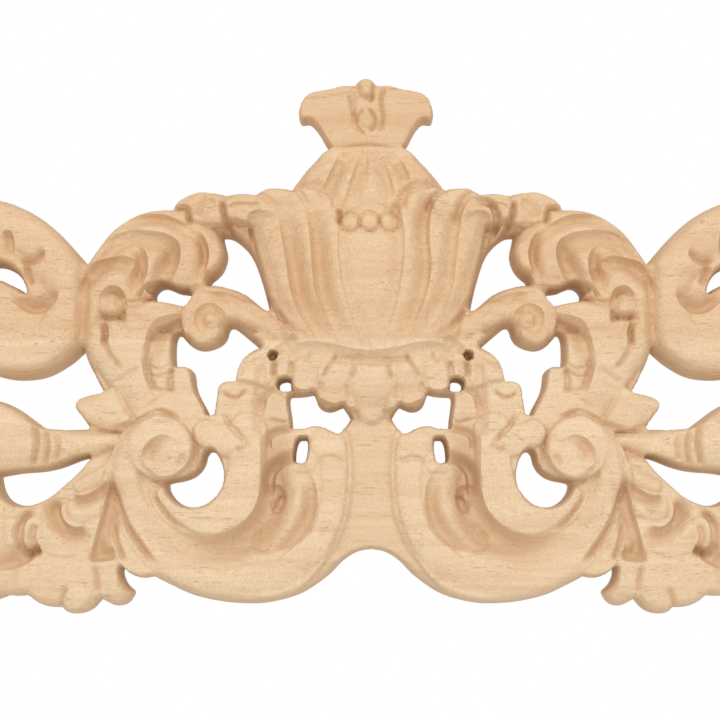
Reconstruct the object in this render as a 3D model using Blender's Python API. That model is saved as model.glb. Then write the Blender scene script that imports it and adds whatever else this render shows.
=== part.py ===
"""Carved wooden furniture applique: an urn between acanthus arches and scrolls, in pierced relief.

The applique is one piece of carved wood with a flat back. The plan is drawn in millimetres, X to the right
and Z up, on the left half, and mirrored. The relief is a height above the flat back, worked out at any point
of the plan by a few strokes: bands laid over each other, scoops with one crisp edge, grooves and bosses.
"""
import math

import bmesh
import bpy
import numpy as np
from mathutils import Vector
from mathutils.geometry import delaunay_2d_cdt
from mathutils.kdtree import KDTree

MM = 0.001
FRONT_SPACING = 3.05
EDGE_SPACING = 2.3
CREASE_SPACING = 3.2
GROUND = 10.5
WOOD_COLOUR = (0.78, 0.60, 0.40, 1.0)
WOOD_ROUGHNESS = 0.62

# The carver's centre line wanders a little to the right, most of all low down.
DRIFT = 1.6
DRIFT_REACH = 80.0
DRIFT_LOW = -20.0
DRIFT_SPAN = 95.0

# Edges are sanded over: the radius, and the share of the height that is left at the border.
ROLL = 1.6
ROLL_SHARE = 0.85

C = "corner"

# Outline of the left half from the knob, down the left side, to the middle of the foot.
OUTLINE = [
    (0, 82.9), (-2.0, 82.3), (-3.4, 81.0, C),
    (-7.2, 81.1), (-11.0, 80.1), (-14.5, 79.5), (-17.0, 78.9), (-18.8, 77.5), (-19.8, 75.2),
    (-20.1, 72.9), (-19.7, 71.3, C), (-17.3, 71.5), (-15.3, 69.9), (-13.5, 67.2), (-12.1, 64.5),
    (-10.1, 61.4, C),
    (-14.5, 58.3), (-19.0, 53.8), (-23.2, 48.2, C),
    (-27.3, 48.8), (-31.2, 48.4), (-34.5, 46.7, C),
    (-38.8, 47.1), (-43.3, 46.4, C),
    (-47.0, 47.2), (-51.0, 47.3), (-55.2, 46.0), (-58.0, 43.8), (-59.6, 41.6, C),
    (-63.0, 41.5), (-67.0, 41.0), (-72.0, 38.9), (-77.4, 34.8), (-81.8, 28.9), (-85.1, 24.0, C),
    (-88.2, 27.5), (-94.2, 34.1), (-101.4, 39.9), (-110.2, 44.0), (-119.0, 45.4), (-128.0, 42.4),
    (-134.5, 35.0), (-137.3, 25.5), (-136.6, 16.0), (-133.0, 7.5), (-127.0, 0.5), (-119.5, -4.8),
    (-112.0, -7.8), (-105.5, -8.8), (-98.3, -7.9), (-92.2, -4.7), (-88.0, -1.2), (-85.8, 1.0, C),
    (-84.2, -4.0), (-81.7, -9.6), (-79.0, -14.4, C),
    (-81.5, -14.8), (-84.6, -15.5), (-87.2, -16.8), (-87.7, -18.6, C), (-85.2, -22.0), (-82.7, -25.4, C),
    (-87.5, -25.7), (-92.8, -25.8), (-97.8, -25.2), (-101.4, -22.9), (-105.5, -19.9), (-109.6, -17.7),
    (-115.0, -16.6), (-121.0, -18.0), (-127.0, -22.0), (-131.5, -27.0), (-134.0, -30.8, C),
    (-128.0, -33.8), (-121.0, -36.2), (-115.5, -37.6, C),
    (-117.5, -42.5), (-122.5, -45.5), (-127.3, -49.5), (-129.3, -55.3), (-127.4, -60.6), (-123.5, -63.0, C),
    (-126.3, -68.5), (-124.6, -73.5), (-118.5, -76.4), (-112.3, -75.6), (-107.6, -74.0, C),
    (-104.5, -74.3), (-101.3, -74.2), (-98.5, -76.2), (-95.3, -77.4), (-91.0, -77.7, C),
    (-89.3, -79.2), (-86.4, -79.5), (-83.4, -78.4), (-81.4, -76.3), (-79.9, -74.7, C),
    (-77.6, -76.2), (-74.9, -77.2), (-72.5, -76.3), (-71.0, -74.0, C),
    (-73.0, -72.2), (-74.4, -69.4), (-74.6, -67.0), (-74.0, -65.0, C),
    (-72.9, -66.3), (-71.2, -67.7), (-69.3, -68.6), (-67.2, -68.9), (-64.4, -68.4, C),
    (-59.4, -70.9), (-52.5, -74.0), (-44.2, -75.9), (-36.2, -76.5), (-29.5, -76.0), (-21.1, -73.5),
    (-13.5, -68.4), (-9.0, -63.9), (-4.5, -61.1), (0, -60.2),
]

# Openings of the left half, sawn right through.
OPENINGS = {
    "beside_urn": [
        (-45.6, 35.4, C), (-41.5, 34.9), (-37.3, 31.6), (-34.6, 27.4), (-32.1, 20.2), (-30.3, 13.2),
        (-29.7, 10.3, C), (-32.3, 10.8), (-37.6, 15.1), (-42.6, 17.4), (-46.6, 18.2), (-49.8, 18.0, C),
        (-48.9, 21.0), (-47.1, 22.5), (-45.2, 24.9), (-44.2, 28.6), (-44.9, 32.2),
    ],
    "under_arch": [
        (-54.1, 17.5, C), (-57.6, 17.9), (-59.7, 18.8), (-61.9, 19.5), (-64.1, 18.9), (-65.8, 16.8),
        (-65.6, 14.4), (-63.8, 13.3), (-60.5, 12.7), (-57.5, 12.1), (-55.6, 11.7, C), (-54.5, 13.2),
        (-53.6, 15.4),
    ],
    "below_arm": [
        (-59.6, -5.2), (-59.8, 0.0), (-59.4, 3.2), (-58.3, 4.8), (-57.1, 4.8), (-55.9, 3.5), (-54.3, 1.8),
        (-52.4, 0.6), (-50.2, 0.2), (-47.4, 0.9), (-45.3, 2.1), (-44.2, 3.7), (-43.7, 5.6), (-42.8, 6.9),
        (-41.2, 7.1), (-39.7, 6.2), (-37.3, 4.2), (-34.7, 2.0), (-31.9, -0.5, C),
        (-34.6, -1.4), (-36.8, -3.0), (-38.6, -5.2), (-39.7, -8.0), (-40.3, -11.6, C),
        (-42.2, -11.2), (-44.3, -11.6), (-45.3, -12.9), (-45.6, -15.2), (-46.1, -18.5), (-46.4, -21.3, C),
        (-49.3, -21.5, C), (-50.0, -19.4), (-51.4, -16.8), (-52.8, -14.0), (-53.5, -11.5), (-53.9, -8.4),
        (-54.7, -7.1), (-56.2, -6.8), (-58.7, -6.9, C),
    ],
    "beside_collar": [
        (-28.6, -11.4), (-27.5, -9.9), (-25.5, -9.4), (-23.7, -9.9, C), (-23.4, -13.8, C), (-25.6, -14.3),
        (-27.9, -13.7),
    ],
    "under_collar": [
        (-25.3, -15.8), (-24.6, -14.3), (-22.0, -14.1), (-19.2, -13.8), (-16.9, -13.2, C), (-16.0, -15.3),
        (-15.2, -17.4), (-13.7, -18.5), (-11.9, -18.6), (-10.0, -17.9), (-8.4, -17.0, C), (-7.0, -18.9),
        (-5.3, -21.7, C), (-7.0, -24.3), (-9.6, -27.4, C), (-12.0, -26.3), (-14.5, -25.1), (-16.5, -24.7),
        (-18.4, -24.9, C), (-19.8, -25.4), (-22.2, -25.5), (-24.4, -25.3, C), (-24.6, -22.0), (-25.1, -18.6),
    ],
    "slot": [
        (-23.5, -35.2, C), (-23.4, -32.0), (-22.8, -29.0), (-21.8, -27.4, C), (-18.7, -27.4, C),
        (-18.4, -29.6), (-18.6, -32.5), (-19.3, -35.4, C), (-21.3, -35.9),
    ],
    "in_scroll": [
        (-49.9, -32.7), (-48.4, -30.9), (-46.3, -31.4), (-44.8, -33.6), (-43.7, -36.8), (-43.4, -40.0),
        (-44.1, -43.0), (-45.9, -45.7), (-48.3, -47.8), (-51.2, -49.0), (-54.2, -49.2), (-56.9, -48.3),
        (-59.3, -46.4), (-61.0, -43.6), (-61.3, -41.0, C), (-59.3, -40.3), (-56.4, -39.8), (-53.6, -38.8),
        (-51.6, -37.1), (-50.4, -34.9),
    ],
    "in_side_scroll": [
        (-102.8, 15.8, C), (-103.3, 18.6), (-105.0, 21.8), (-108.0, 24.6), (-112.0, 26.1), (-116.5, 25.6),
        (-120.2, 22.9), (-122.0, 18.5, C), (-119.0, 20.0), (-115.5, 20.5), (-112.0, 19.9), (-109.0, 18.6),
        (-106.2, 17.2), (-104.2, 15.9),
    ],
    "under_husk": [
        (-82.3, -32.3, C), (-86.8, -33.3), (-92.8, -35.6), (-98.0, -36.8), (-105.0, -37.4),
        (-111.8, -38.6, C), (-110.8, -43.2), (-108.9, -46.4), (-106.2, -48.1), (-102.8, -48.7), (-98.4, -47.8), (-94.4, -45.6),
        (-90.0, -41.9), (-86.3, -38.4), (-83.6, -35.0),
    ],
}

# Bands laid over each other, lowest first: name, side, spine, half widths, heights, crown, soft edge.
# A band's height is its value at the middle, and its edges lie lower by the crown.
BOTH, LEFT, RIGHT = "both", "left", "right"
BANDS = [
    ("leaf bed", BOTH, [(-84, -42), (-98, -62), (-104, -70)], [10, 26, 28], [12.0, 12.0, 11.5], 0.5, 2.0),
    ("leaf end", BOTH, [(-118, -52), (-116, -66)], [14, 13], [13.5, 12.5], 3.5, 2.0),
    ("leaf lobe 3", BOTH, [(-80, -57), (-92, -57.5)], [6.5, 7.5], [14.0, 13.5], 3.0, 2.0),
    ("leaf lobe 2", BOTH, [(-77, -46), (-85, -49)], [5.0, 5.5], [14.5, 14.5], 3.0, 1.5),
    ("leaf lobe 1", BOTH, [(-76, -38), (-86, -42.5)], [3.5, 2.6], [15.0, 13.5], 2.5, 1.2),
    ("leaf foot left", BOTH, [(-92, -64), (-98, -70)], [8, 8], [12.8, 12.3], 1.2, 3.0),
    ("leaf foot middle", BOTH, [(-84, -63), (-86.5, -72)], [7, 6.5], [13.0, 12.6], 1.2, 3.0),
    ("leaf foot right", BOTH, [(-77, -66), (-75.5, -71)], [5, 5], [12.8, 12.0], 1.5, 2.0),
    ("leaf oval", BOTH, [(-99.5, -54), (-99.5, -59)], [3.4, 3.2], [13.5, 13.5], 2.5, 1.0),
    ("leaf bud", BOTH, [(-105.5, -55), (-105.5, -57.5)], [3.8, 3.6], [13.5, 13.5], 2.5, 1.0),
    ("side leaf", BOTH, [(-70, -18), (-79, -19.5), (-88, -18)], [9, 6.5, 3.0], [14.0, 13.8, 12.0], 3.0, 1.0),
    ("husk", BOTH, [(-76, -28.5), (-90, -31), (-103, -29.5), (-117, -27.5), (-134, -30.5)],
     [3.0, 6.2, 9.0, 11.0, 4.0], [12.0, 15.0, 17.5, 17.5, 12.0], 6.5, 1.0),
    ("side scroll", BOTH, [(-111, 17)], [30], [13.5], 1.0, 1.0),
    ("side scroll rim", BOTH, [(-124, 36), (-110, 36), (-98, 29), (-91.5, 19), (-91.5, 8), (-97, -0.5),
        (-107, -2.5), (-118, 2)], [8, 8.5, 8.5, 7.0, 7.0, 7.8, 7.5, 6], [14.5, 15.0, 15.5, 16.0, 16.0, 15.5,
        15.0, 13.5], 4.8, 2.0),
    ("stalk", BOTH, [(-61, -21), (-66, -12), (-72, -2), (-76, 8)], [10, 10, 11.5, 10], [13.0, 15.0, 16.5,
        16.5], 5.5, 1.5),
    ("arch", BOTH, [(-80.5, 0), (-79.5, 12), (-75, 22), (-66, 27.8), (-57, 28), (-49.5, 25)],
     [8, 9, 13, 14.5, 14, 8.5], [15.0, 16.5, 17.5, 17.5, 17.0, 15.0], 7.0, 1.0),
    ("web under arch", BOTH, [(-65.6, 17.0), (-62.4, 18.4)], [1.8, 1.5], [11.5, 11.0], 0.0, 1.0),
    ("hood", BOTH, [(-70, 8), (-62, 9.5), (-56, 10)], [6, 4.5, 2.5], [16.5, 15.5, 14.0], 2.5, 1.5),
    ("stalk finger", BOTH, [(-62, 0), (-63, -7), (-62.5, -13)], [5.0, 4.4, 3.6], [12.5, 14.5, 14.0], 2.0,
        1.2),
    ("stalk block", BOTH, [(-56.5, -8.5), (-55.5, -14)], [3.2, 4.5], [13.5, 13.0], 1.0, 0.8),
    ("shield", BOTH, [(0, -24), (0, -62)], [11, 16], [11.2, 10.5], 0.0, 3.0),
    ("inner leaf", BOTH, [(-33, -1), (-35.5, -12), (-39, -24), (-44, -31)], [6, 9, 12, 9], [13.5, 15.0,
        15.5, 14.5], 3.0, 1.5),
    ("lobe a", BOTH, [(-43, -13.5), (-39.5, -14.0)], [2.8, 2.4], [14.5, 14.8], 1.2, 0.8),
    ("inner petals", BOTH, [(-27.5, -14), (-26.5, -22), (-26, -30), (-26, -36)], [4.2, 4.5, 5.5, 6.5],
     [14.0, 14.5, 14.2, 13.5], 1.8, 1.0),
    ("scroll bed", BOTH, [(-44, -46)], [36], [13.2], 0.0, 1.0),
    ("scroll band", BOTH, [(-12, -30), (-11, -42), (-13, -53), (-19.5, -61.5), (-30, -67), (-43, -68.8),
        (-55, -66), (-65, -58.5), (-71, -48), (-72.3, -37), (-69.5, -28), (-63.5, -22.5)], [7.5, 6.5, 6.5,
        7.5, 8, 8, 8, 7.5, 6, 5, 4, 3], [14.5, 14.8, 15.0, 14.8, 14.5, 14.5, 14.5, 15.0, 15.5, 16.0, 16.5,
        17.0], (5.0, 1.2), 2.5),
    ("scroll curl leaf", BOTH, [(-21, -38), (-20.5, -46), (-24, -54), (-32, -59)], [7, 6, 6.5, 4],
     [14.5, 14.3, 13.5, 11.5], 1.6, 1.5),
    ("scroll inner band", BOTH, [(-36.5, -26), (-37.2, -38), (-40, -47.5), (-47.5, -52.8), (-55, -50.5),
        (-61, -45)], [6.0, 5.6, 6.2, 4.8, 3.6, 2.6], [15.5, 15.0, 15.0, 15.0, 15.0, 15.0], 1.2, 0.8),
    ("scroll volute", BOTH, [(-61.9, -31.2)], [9.9], [18.0], 1.6, 1.0),
    ("volute lobe", BOTH, [(-48.8, -26.8), (-43, -29)], [4.4, 5.2], [16.2, 15.8], 2.2, 0.8),
    ("collar", BOTH, [(-26, -3), (-20, -6), (-11, -8), (0, -10)], [6, 8.5, 10.5, 11.5], [14.5, 16.5, 17.5,
        18.0], 2.5, 1.0),
    ("collar outer petal", BOTH, [(-26.0, -5), (-26.4, -8)], [3.0, 2.8], [15.6, 14.5], 1.2, 1.2),
    ("collar petal", BOTH, [(-19.2, -6), (-19.6, -10.5)], [4.6, 4.0], [16.6, 15.0], 1.2, 1.5),
    ("collar near petal", BOTH, [(-11.0, -8), (-11.6, -14.5)], [5.0, 4.2], [17.6, 15.0], 1.4, 1.5),
    ("collar front petal", BOTH, [(0, -8), (0, -14), (0, -20)], [7.4, 6.4, 4.4], [18.2, 16.6, 13.5], 1.8,
        1.5),
    ("arm", BOTH, [(-14, 3.5), (-25, 5.5), (-34, 9.5), (-42, 12.3), (-49, 13)], [4, 5, 5.4, 5.6, 5.4],
     [15.0, 14.5, 15.0, 16.0, 16.5], 4.0, 1.0),
    ("arm volute", BOTH, [(-48.6, 7.6)], [8.6], [17.0], 3.0, 1.0),
    ("finial", BOTH, [(0, 58), (0, 66), (0, 72), (0, 78), (0, 86)], [12, 17, 24, 27, 30], [9.8, 9.0, 9.0,
        8.8, 8.2], 1.5, 0.5),
    ("lid", BOTH, [(0, 40), (0, 52), (0, 61)], [27, 20, 10.5], [19.0, 17.5, 12.8], 6.5, 0.8),
    ("knob", BOTH, [(0, 81.4), (0, 79.2)], [3.0, 2.2], [11.0, 11.2], 2.5, 0.8),
    ("urn", BOTH, [(0, -3.5), (0, 8), (0, 18), (0, 30), (0, 40)], [19, 28, 33, 36, 44], [19.0, 21.0, 22.0,
        21.5, 19.5], 8.5, 1.5),
    ("rim lobe d", BOTH, [(-56, 41.5), (-51, 41.8), (-46, 41)], [3.5, 5.5, 5.0], [15.5, 17.0, 16.5], 3.5,
        0.8),
    ("rim lobe c", BOTH, [(-40, 41.5), (-35, 41)], [4.6, 5.4], [17.5, 18.0], 3.0, 1.2),
    ("rim lobe b", BOTH, [(-29.5, 43), (-25.5, 42)], [5.0, 5.4], [18.5, 19.2], 2.8, 1.2),
    ("rim lobe a", BOTH, [(-20, 43.5), (-15, 42)], [4.4, 4.6], [19.3, 20.2], 2.2, 1.2),
]

# Bands that end square; the others have round ends.
SQUARE_ENDS = ("urn", "lid", "finial", "shield")

# Bands that have grown into the wood under them; the others lie on it.
GROWN = ("arch", "arm", "rim lobe a", "rim lobe b", "rim lobe c", "rim lobe d")

# Scoops: name, side, line, depth, radius of the steep part, reach. The wood is left high on the right hand
# of the line and is cut away on its left hand, steeply at first and then running out.
SCOOPS = [
    ("arch finger end", BOTH, [(-60.6, 21.6), (-61.4, 19.6), (-62.9, 18.4), (-65.3, 17.8), (-68.4, 18.3)],
        0.5, 1.2, 3.5),
    ("arch tip end", BOTH, [(-50.0, 20.2), (-54.0, 17.7), (-57.5, 17.3), (-59.3, 18.7), (-60.6, 21.2)], 0.4,
        1.2, 3.5),
    ("arch first finger end", BOTH, [(-66.7, 18.2), (-67.8, 16.0), (-69.0, 14.1), (-70.7, 13.5), (-72.7,
        14.2)], 1.4, 1.2, 4.0),
    ("stalk finger edge", BOTH, [(-67.4, -3.0), (-67.8, -5.6), (-67.5, -8.7), (-66.5, -11.7), (-64.6,
        -15.0)], 1.6, 1.0, 3.0),
    ("leaf lobe 1 edge", BOTH, [(-78.3, -40.3), (-80.5, -43), (-84.5, -45.1), (-88.2, -44.7)], 3.4, 1.6,
        5.0),
    ("leaf lobe 2 edge", BOTH, [(-83.5, -53.8), (-87, -54.5), (-89.9, -52.8), (-91.2, -50), (-90.8, -46.4)],
        4.2, 1.8, 6.5),
    ("leaf lobe 3 edge", BOTH, [(-96, -62.6), (-97.4, -60.3), (-98.4, -57), (-97.2, -53.8)], 2.0, 1.3, 3.0),
    ("leaf oval edge", BOTH, [(-98.8, -62.2), (-101.7, -60), (-102.2, -56), (-101, -53), (-98.4, -51.2)],
        2.6, 1.5, 3.5),
    ("leaf fold", BOTH, [(-111, -67.8), (-105, -67.2), (-100.8, -65.5), (-97, -62.4)], 3.0, 2.0, 7.0),
    ("leaf strip", BOTH, [(-77.4, -41), (-78.7, -48), (-80.7, -56), (-83, -65)], 3.8, 1.6, 7.5),
    ("leaf strip end", BOTH, [(-83, -65.3), (-79, -65), (-75, -64.6)], 2.6, 1.2, 5.0),
    ("side pocket", BOTH, [(-108.4, 14.5), (-105.6, 11.8), (-102.3, 9.5), (-98.3, 9.2), (-94.8, 11), (-92.9,
        14), (-92.7, 17.5)], 3.4, 1.8, 6.5),
    ("side lobe", BOTH, [(-106.2, 25.6), (-102.7, 23.9), (-99.3, 24.2), (-97.0, 26.6), (-97.2, 29.4)], 2.8,
        1.2, 4.0),
    ("side hollow", BOTH, [(-106.4, 26.9), (-106.3, 31.4), (-107.6, 34.6), (-110.5, 34.4)], 2.8, 1.4, 5.0),
    ("collar top", BOTH, [(-28.6, -4.9), (-27.7, -3.7), (-25.9, -1.8), (-23.9, -0.3), (-20.8, 1.3)], 1.6,
        1.2, 3.0),
    ("arm edge", BOTH, [(-26, 6.8), (-32, 10.3), (-38, 13.6), (-44, 15.7), (-50, 15.4)], 1.4, 1.4, 4.0),
    ("lobe c top", BOTH, [(-32.0, 42.4), (-35.3, 42.7), (-38.9, 42.9), (-41.6, 42.2), (-42.6, 39.8)], 1.0,
        0.8, 2.5),
    ("petal arc", BOTH, [(-31.4, -20.0), (-31.0, -16.6), (-29.5, -14.8), (-27.0, -13.8)], 1.8, 1.0, 3.0),
    ("petal low arc", BOTH, [(-29.2, -32.2), (-29.7, -29.0), (-28.5, -27.5), (-26.2, -26.9), (-22.6,
        -26.3)], 1.8, 1.2, 3.0),
    ("lobe edge", BOTH, [(-45.6, -20.6), (-43.7, -23.3), (-42.2, -25.7), (-40.4, -27.5), (-38.7, -29.3),
        (-37.7, -30.8), (-38.3, -32.0)], 1.2, 0.8, 2.5),
    ("arch ring 1 low", BOTH, [(-69.2, 24.0), (-70.5, 25.4), (-71.7, 26.1), (-74.4, 26.6), (-77.1, 26.5),
        (-79.5, 26.0), (-81.8, 25.1), (-83.9, 23.4), (-85.6, 20.9)], [1.4, 3.1, 3.6, 3.6, 3.6, 3.4, 3.1,
        2.9, 2.4], 2.4, 6.5),
    ("arch ring 1", BOTH, [(-67.4, 18.5), (-66.4, 20.9), (-66.0, 23.7), (-66.2, 26.2), (-67.1, 28.1),
        (-68.6, 29.3), (-70.7, 30.1), (-73.1, 30.7), (-75.5, 30.6), (-77.9, 29.6), (-80.2, 27.8), (-82.3,
        25.6)], [2.0, 4.5, 4.8, 4.5, 3.8, 2.5, 1.2, 0.8, 0.8, 0.8, 0.8, 0.5], 2.6, 5.5),
    ("arch ring 2", BOTH, [(-58.8, 19.8), (-57.7, 22.2), (-56.8, 24.4), (-56.4, 26.9), (-56.6, 29.4),
        (-57.5, 31.2), (-59.3, 32.5), (-61.4, 33.4), (-63.5, 33.9), (-65.9, 34.2), (-68.9, 34.5), (-71.6,
        34.5), (-74.2, 34.1), (-76.3, 33.1), (-78.4, 31.6), (-80.1, 29.4), (-81.9, 26.6), (-83.3, 23.8)],
        [2.6, 5.2, 6.0, 6.0, 5.5, 4.4, 3.6, 3.1, 2.9, 2.9, 3.1, 3.4, 3.4, 3.4, 3.1, 2.6, 2.1, 1.3], 3.4,
        7.5),
    ("arch ring 3", BOTH, [(-49.3, 21.6), (-48.4, 24.7), (-48.1, 27.5), (-48.6, 30.3), (-49.5, 32.5),
        (-51.0, 34.3), (-53.1, 35.6)], [1.8, 3.9, 4.2, 3.9, 2.9, 1.3, 0.0], 1.8, 4.2),
    ("arch ring 4", BOTH, [(-53.6, 35.5), (-55.7, 36.9), (-57.8, 38.0), (-60.2, 39.1), (-62.4, 39.6),
        (-64.8, 39.7), (-67.8, 39.6), (-70.8, 38.8), (-73.8, 37.4), (-76.8, 35.2)], [1.0, 1.9, 2.4, 2.6,
        2.9, 2.9, 2.9, 2.6, 2.2, 1.4], 1.8, 5),
    ("arch eye", BOTH, [(-72.4, 12.2), (-72.8, 14.3), (-73.7, 16.2), (-75.2, 17.2), (-77.3, 17.4), (-79.0,
        16.5), (-80.2, 14.9), (-81.0, 12.5), (-81.1, 9.7), (-80.6, 6.6), (-79.6, 3.6), (-78.7, 0.8), (-78.0,
        -1.0)], [0.8, 2.4, 3.0, 3.0, 2.7, 2.2, 1.7, 1.0, 0.9, 0.9, 0.8, 0.4, 0.0], 1.8, 4.2),
    ("sliver", BOTH, [(-78.3, -1.0), (-77.6, 1.4), (-77.6, 3.9), (-78.3, 6.2), (-79.6, 7.4)], [0.5, 2.6, 3,
        2.6, 1], 1.4, 2.6),
    ("hood edge", BOTH, [(-55.0, 9.5), (-58.3, 9.2), (-61.2, 8.5), (-63.6, 7.5), (-65.3, 5.6), (-66.5, 3.2),
        (-67.1, 0.4), (-67.8, -2.3), (-68.1, -5.1), (-67.7, -7.8), (-66.8, -10.9), (-65.5, -13.9)], [0.8,
        1.7, 2.2, 2.3, 2.3, 2.1, 1.6, 1.2, 1.0, 1.0, 0.9, 0.4], 2.8, 7),
    ("flute 4", BOTH, [(-31.3, 40.1), (-34.0, 40.2), (-36.0, 39.4), (-36.7, 37.6), (-36.6, 34.1), (-35.6,
        30.1), (-34.1, 25.5), (-32.3, 20.2), (-30.5, 15.0), (-28.2, 10.1), (-25.8, 6.4)], [0.5, 1.9, 2.5,
        2.3, 1.7, 1.4, 1.3, 1.3, 1.3, 1.3, 0.8], 2, 5.5),
    ("flute 3", LEFT, [(-30.0, 43.0), (-28.2, 40.2), (-27.2, 37.2), (-26.6, 33.5), (-26.0, 29.0), (-25.1,
        24.0), (-24.5, 19.0), (-23.7, 14.7), (-22.2, 10.4), (-20.2, 6.5), (-17.8, 2.8), (-16.0, 0.1)], [0.2,
        1.0, 1.8, 2.4, 3.0, 3.6, 3.8, 3.8, 3.4, 2.8, 2.0, 0.8], 2.6, 7.5),
    ("flute 2", LEFT, [(-20.1, 42.9), (-19.2, 40.6), (-18.6, 37.2), (-18.1, 33.0), (-17.7, 29.0), (-17.6,
        25.0), (-17.3, 21.2), (-17.0, 17.3), (-16.1, 13.6), (-14.5, 9.3), (-12.8, 5.3), (-10.7, 2.0), (-8.7,
        -1.0)], [0.2, 1.0, 2.0, 2.6, 3.2, 3.6, 3.6, 3.6, 3.2, 2.8, 2.2, 1.6, 0.6], 2.4, 7.2),
    ("flute 3", RIGHT, [(-27.7, 35.7), (-27.0, 32.6), (-26.6, 28.9), (-25.9, 24.6), (-25.4, 20.0), (-24.4,
        15.3), (-22.5, 10.8), (-20.1, 6.5), (-17.6, 2.8)], [1.8, 2.4, 2.1, 2.1, 2.1, 2.1, 1.8, 1.5, 0.9],
        2.2, 6),
    ("flute 2", RIGHT, [(-19.3, 41.1), (-18.6, 38.6), (-18.1, 34.8), (-18.0, 30.5), (-18.3, 25.9), (-18.2,
        21.2), (-17.5, 16.9), (-16.2, 12.7), (-14.6, 8.4), (-13.1, 4.4), (-11.5, 0.5)], [2.4, 3.2, 3.2, 2.8,
        2.6, 2.6, 2.4, 2.2, 2, 1.6, 0.8], 1.8, 6.5),
    ("panel crease", LEFT, [(-9.2, 38.7), (-9.5, 34.1), (-9.7, 28.8), (-9.5, 23.6), (-8.8, 18.1), (-7.7,
        13.2), (-6.2, 8.6), (-4.5, 3.7), (-2.5, -2.0)], [1, 0.9, 0.9, 0.9, 0.9, 0.9, 0.9, 0.9, 0.7], 0.9,
        5),
    ("panel crease", RIGHT, [(-9.8, 38.4), (-10.3, 34.1), (-10.5, 28.8), (-10.1, 23.6), (-9.4, 18.7), (-8.4,
        13.8), (-7.2, 9.2), (-5.9, 5.2), (-4.7, 0.4)], [1.2, 1.3, 1.4, 1.4, 1.4, 1.3, 1.2, 1, 0.6], 1.6,
        5.5),
    ("rim pocket", RIGHT, [(-36.3, 34.1), (-37.3, 36.9), (-36.9, 39.7), (-35.3, 41.5), (-32.5, 41.3),
        (-30.1, 40.4), (-28.5, 38.2)], [2, 3.8, 3.8, 2.8, 1, 0.8, 0.6], 1.6, 3.2),
    ("lid rib", LEFT, [(-2.9, 57.7), (-3.8, 54.8), (-4.8, 51.7), (-5.9, 48.5), (-6.9, 45.0), (-7.9, 41.6)],
        [0.9, 1.3, 1.6, 1.8, 1.6, 1.0], 2.4, 6.5),
    ("lid rib", RIGHT, [(-4.7, 57.4), (-6.1, 53.6), (-7.1, 50.1), (-8.0, 46.3), (-9.1, 42.5)], [0.9, 1.3,
        1.6, 1.8, 1.6, 1.0], 2.4, 6.5),
    ("lid outer rib", LEFT, [(-9.1, 57.7), (-10.3, 55.3), (-11.8, 52.1), (-13.0, 49.3), (-14.5, 47.1)],
        [0.9, 1.5, 1.9, 2.0, 1.4], 2.4, 6.5),
    ("lid outer rib", RIGHT, [(-9.9, 57.2), (-11.3, 54.7), (-12.5, 51.8), (-13.0, 49.0)], [0.9, 1.5, 1.9,
        2.0, 1.4], 2.4, 6.5),
    ("lobe a edge", LEFT, [(-21.9, 46.7), (-19.5, 47.3), (-16.8, 47.3), (-14.4, 46.7), (-12.3, 45.4),
        (-10.8, 43.2), (-9.7, 40.7), (-9.1, 38.5)], [0.6, 1.1, 1.3, 1.3, 1.0, 0.7, 0.9, 0.7], 1.2, 3.5),
    ("lobe a edge", RIGHT, [(-21.1, 47.1), (-18.6, 47.3), (-15.9, 47.3), (-13.5, 46.5), (-11.7, 44.8),
        (-10.6, 42.6), (-9.6, 40.4), (-9.1, 38.5)], [0.9, 1.4, 1.5, 1.7, 1.7, 1.7, 1.7, 0.9], 1.2, 3.5),
    ("lobe b edge", RIGHT, [(-23.1, 45.1), (-21.6, 44.1), (-20.3, 42.6), (-19.4, 40.7)], [1.8, 2.2, 2.4,
        2.2], 1.2, 3),
    ("lobe c edge", RIGHT, [(-34.5, 44.6), (-32.0, 44.1), (-30.1, 42.7), (-28.7, 40.4), (-27.8, 37.5)],
        [0.8, 1.8, 2.2, 2.2, 1.2], 1.4, 3.5),
    ("lobe b edge", LEFT, [(-23.1, 45.7), (-22.0, 44.8), (-20.8, 42.9), (-19.6, 41.0)], [1.6, 1.6, 1.2,
        0.4], 1.2, 3),
    ("lobe c edge", LEFT, [(-34.6, 45.1), (-32.8, 43.8), (-30.5, 41.9), (-28.1, 39.7)], [1, 1.2, 1, 0.4],
        1.2, 3),
    ("urn foot", BOTH, [(8.0, -2.3), (4.0, -2.5), (0.0, -2.5), (-4.7, -1.9), (-8.4, -1.2), (-12.1, -0.3),
        (-15.2, 0.3), (-18.2, 0.5), (-20.7, 0.2), (-23.1, -0.6), (-25.8, -1.8), (-27.8, -3.2)], [2.2, 2.2,
        2.2, 2.2, 2.2, 2.2, 2.2, 2.0, 1.9, 1.5, 1.2, 0.7], 2.6, 6),
    ("scroll inner ring", BOTH, [(-33.0, -12.6), (-33.2, -17.2), (-33.3, -21.7), (-33.2, -26.2), (-33.0,
        -30.7), (-32.8, -35.2), (-32.9, -39.7), (-33.1, -43.5), (-33.8, -46.8), (-34.9, -49.5), (-36.7,
        -51.8), (-38.9, -53.9), (-41.8, -55.6), (-45.3, -56.7), (-48.4, -57.1), (-51.9, -56.8), (-55.7,
        -55.8), (-59.2, -53.9), (-62.1, -51.2), (-64.2, -48.0), (-65.2, -44.7), (-65.3, -41.5)], [0.8, 1.2,
        1.6, 2.2, 3, 3.8, 4.6, 5.2, 5.6, 5.8, 5.6, 5.2, 4.8, 4.2, 3.6, 3, 2.6, 2.2, 2, 1.8, 1.6, 0.8], 4,
        13),
    ("scroll inner lip", BOTH, [(-53.4, -55.8), (-56.3, -53.6), (-58.7, -51.2), (-60.8, -48.6), (-62.4,
        -45.9), (-63.8, -42.9)], [0.3, 1.1, 1.3, 1.3, 1.1, 0.4], 0.9, 2),
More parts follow.
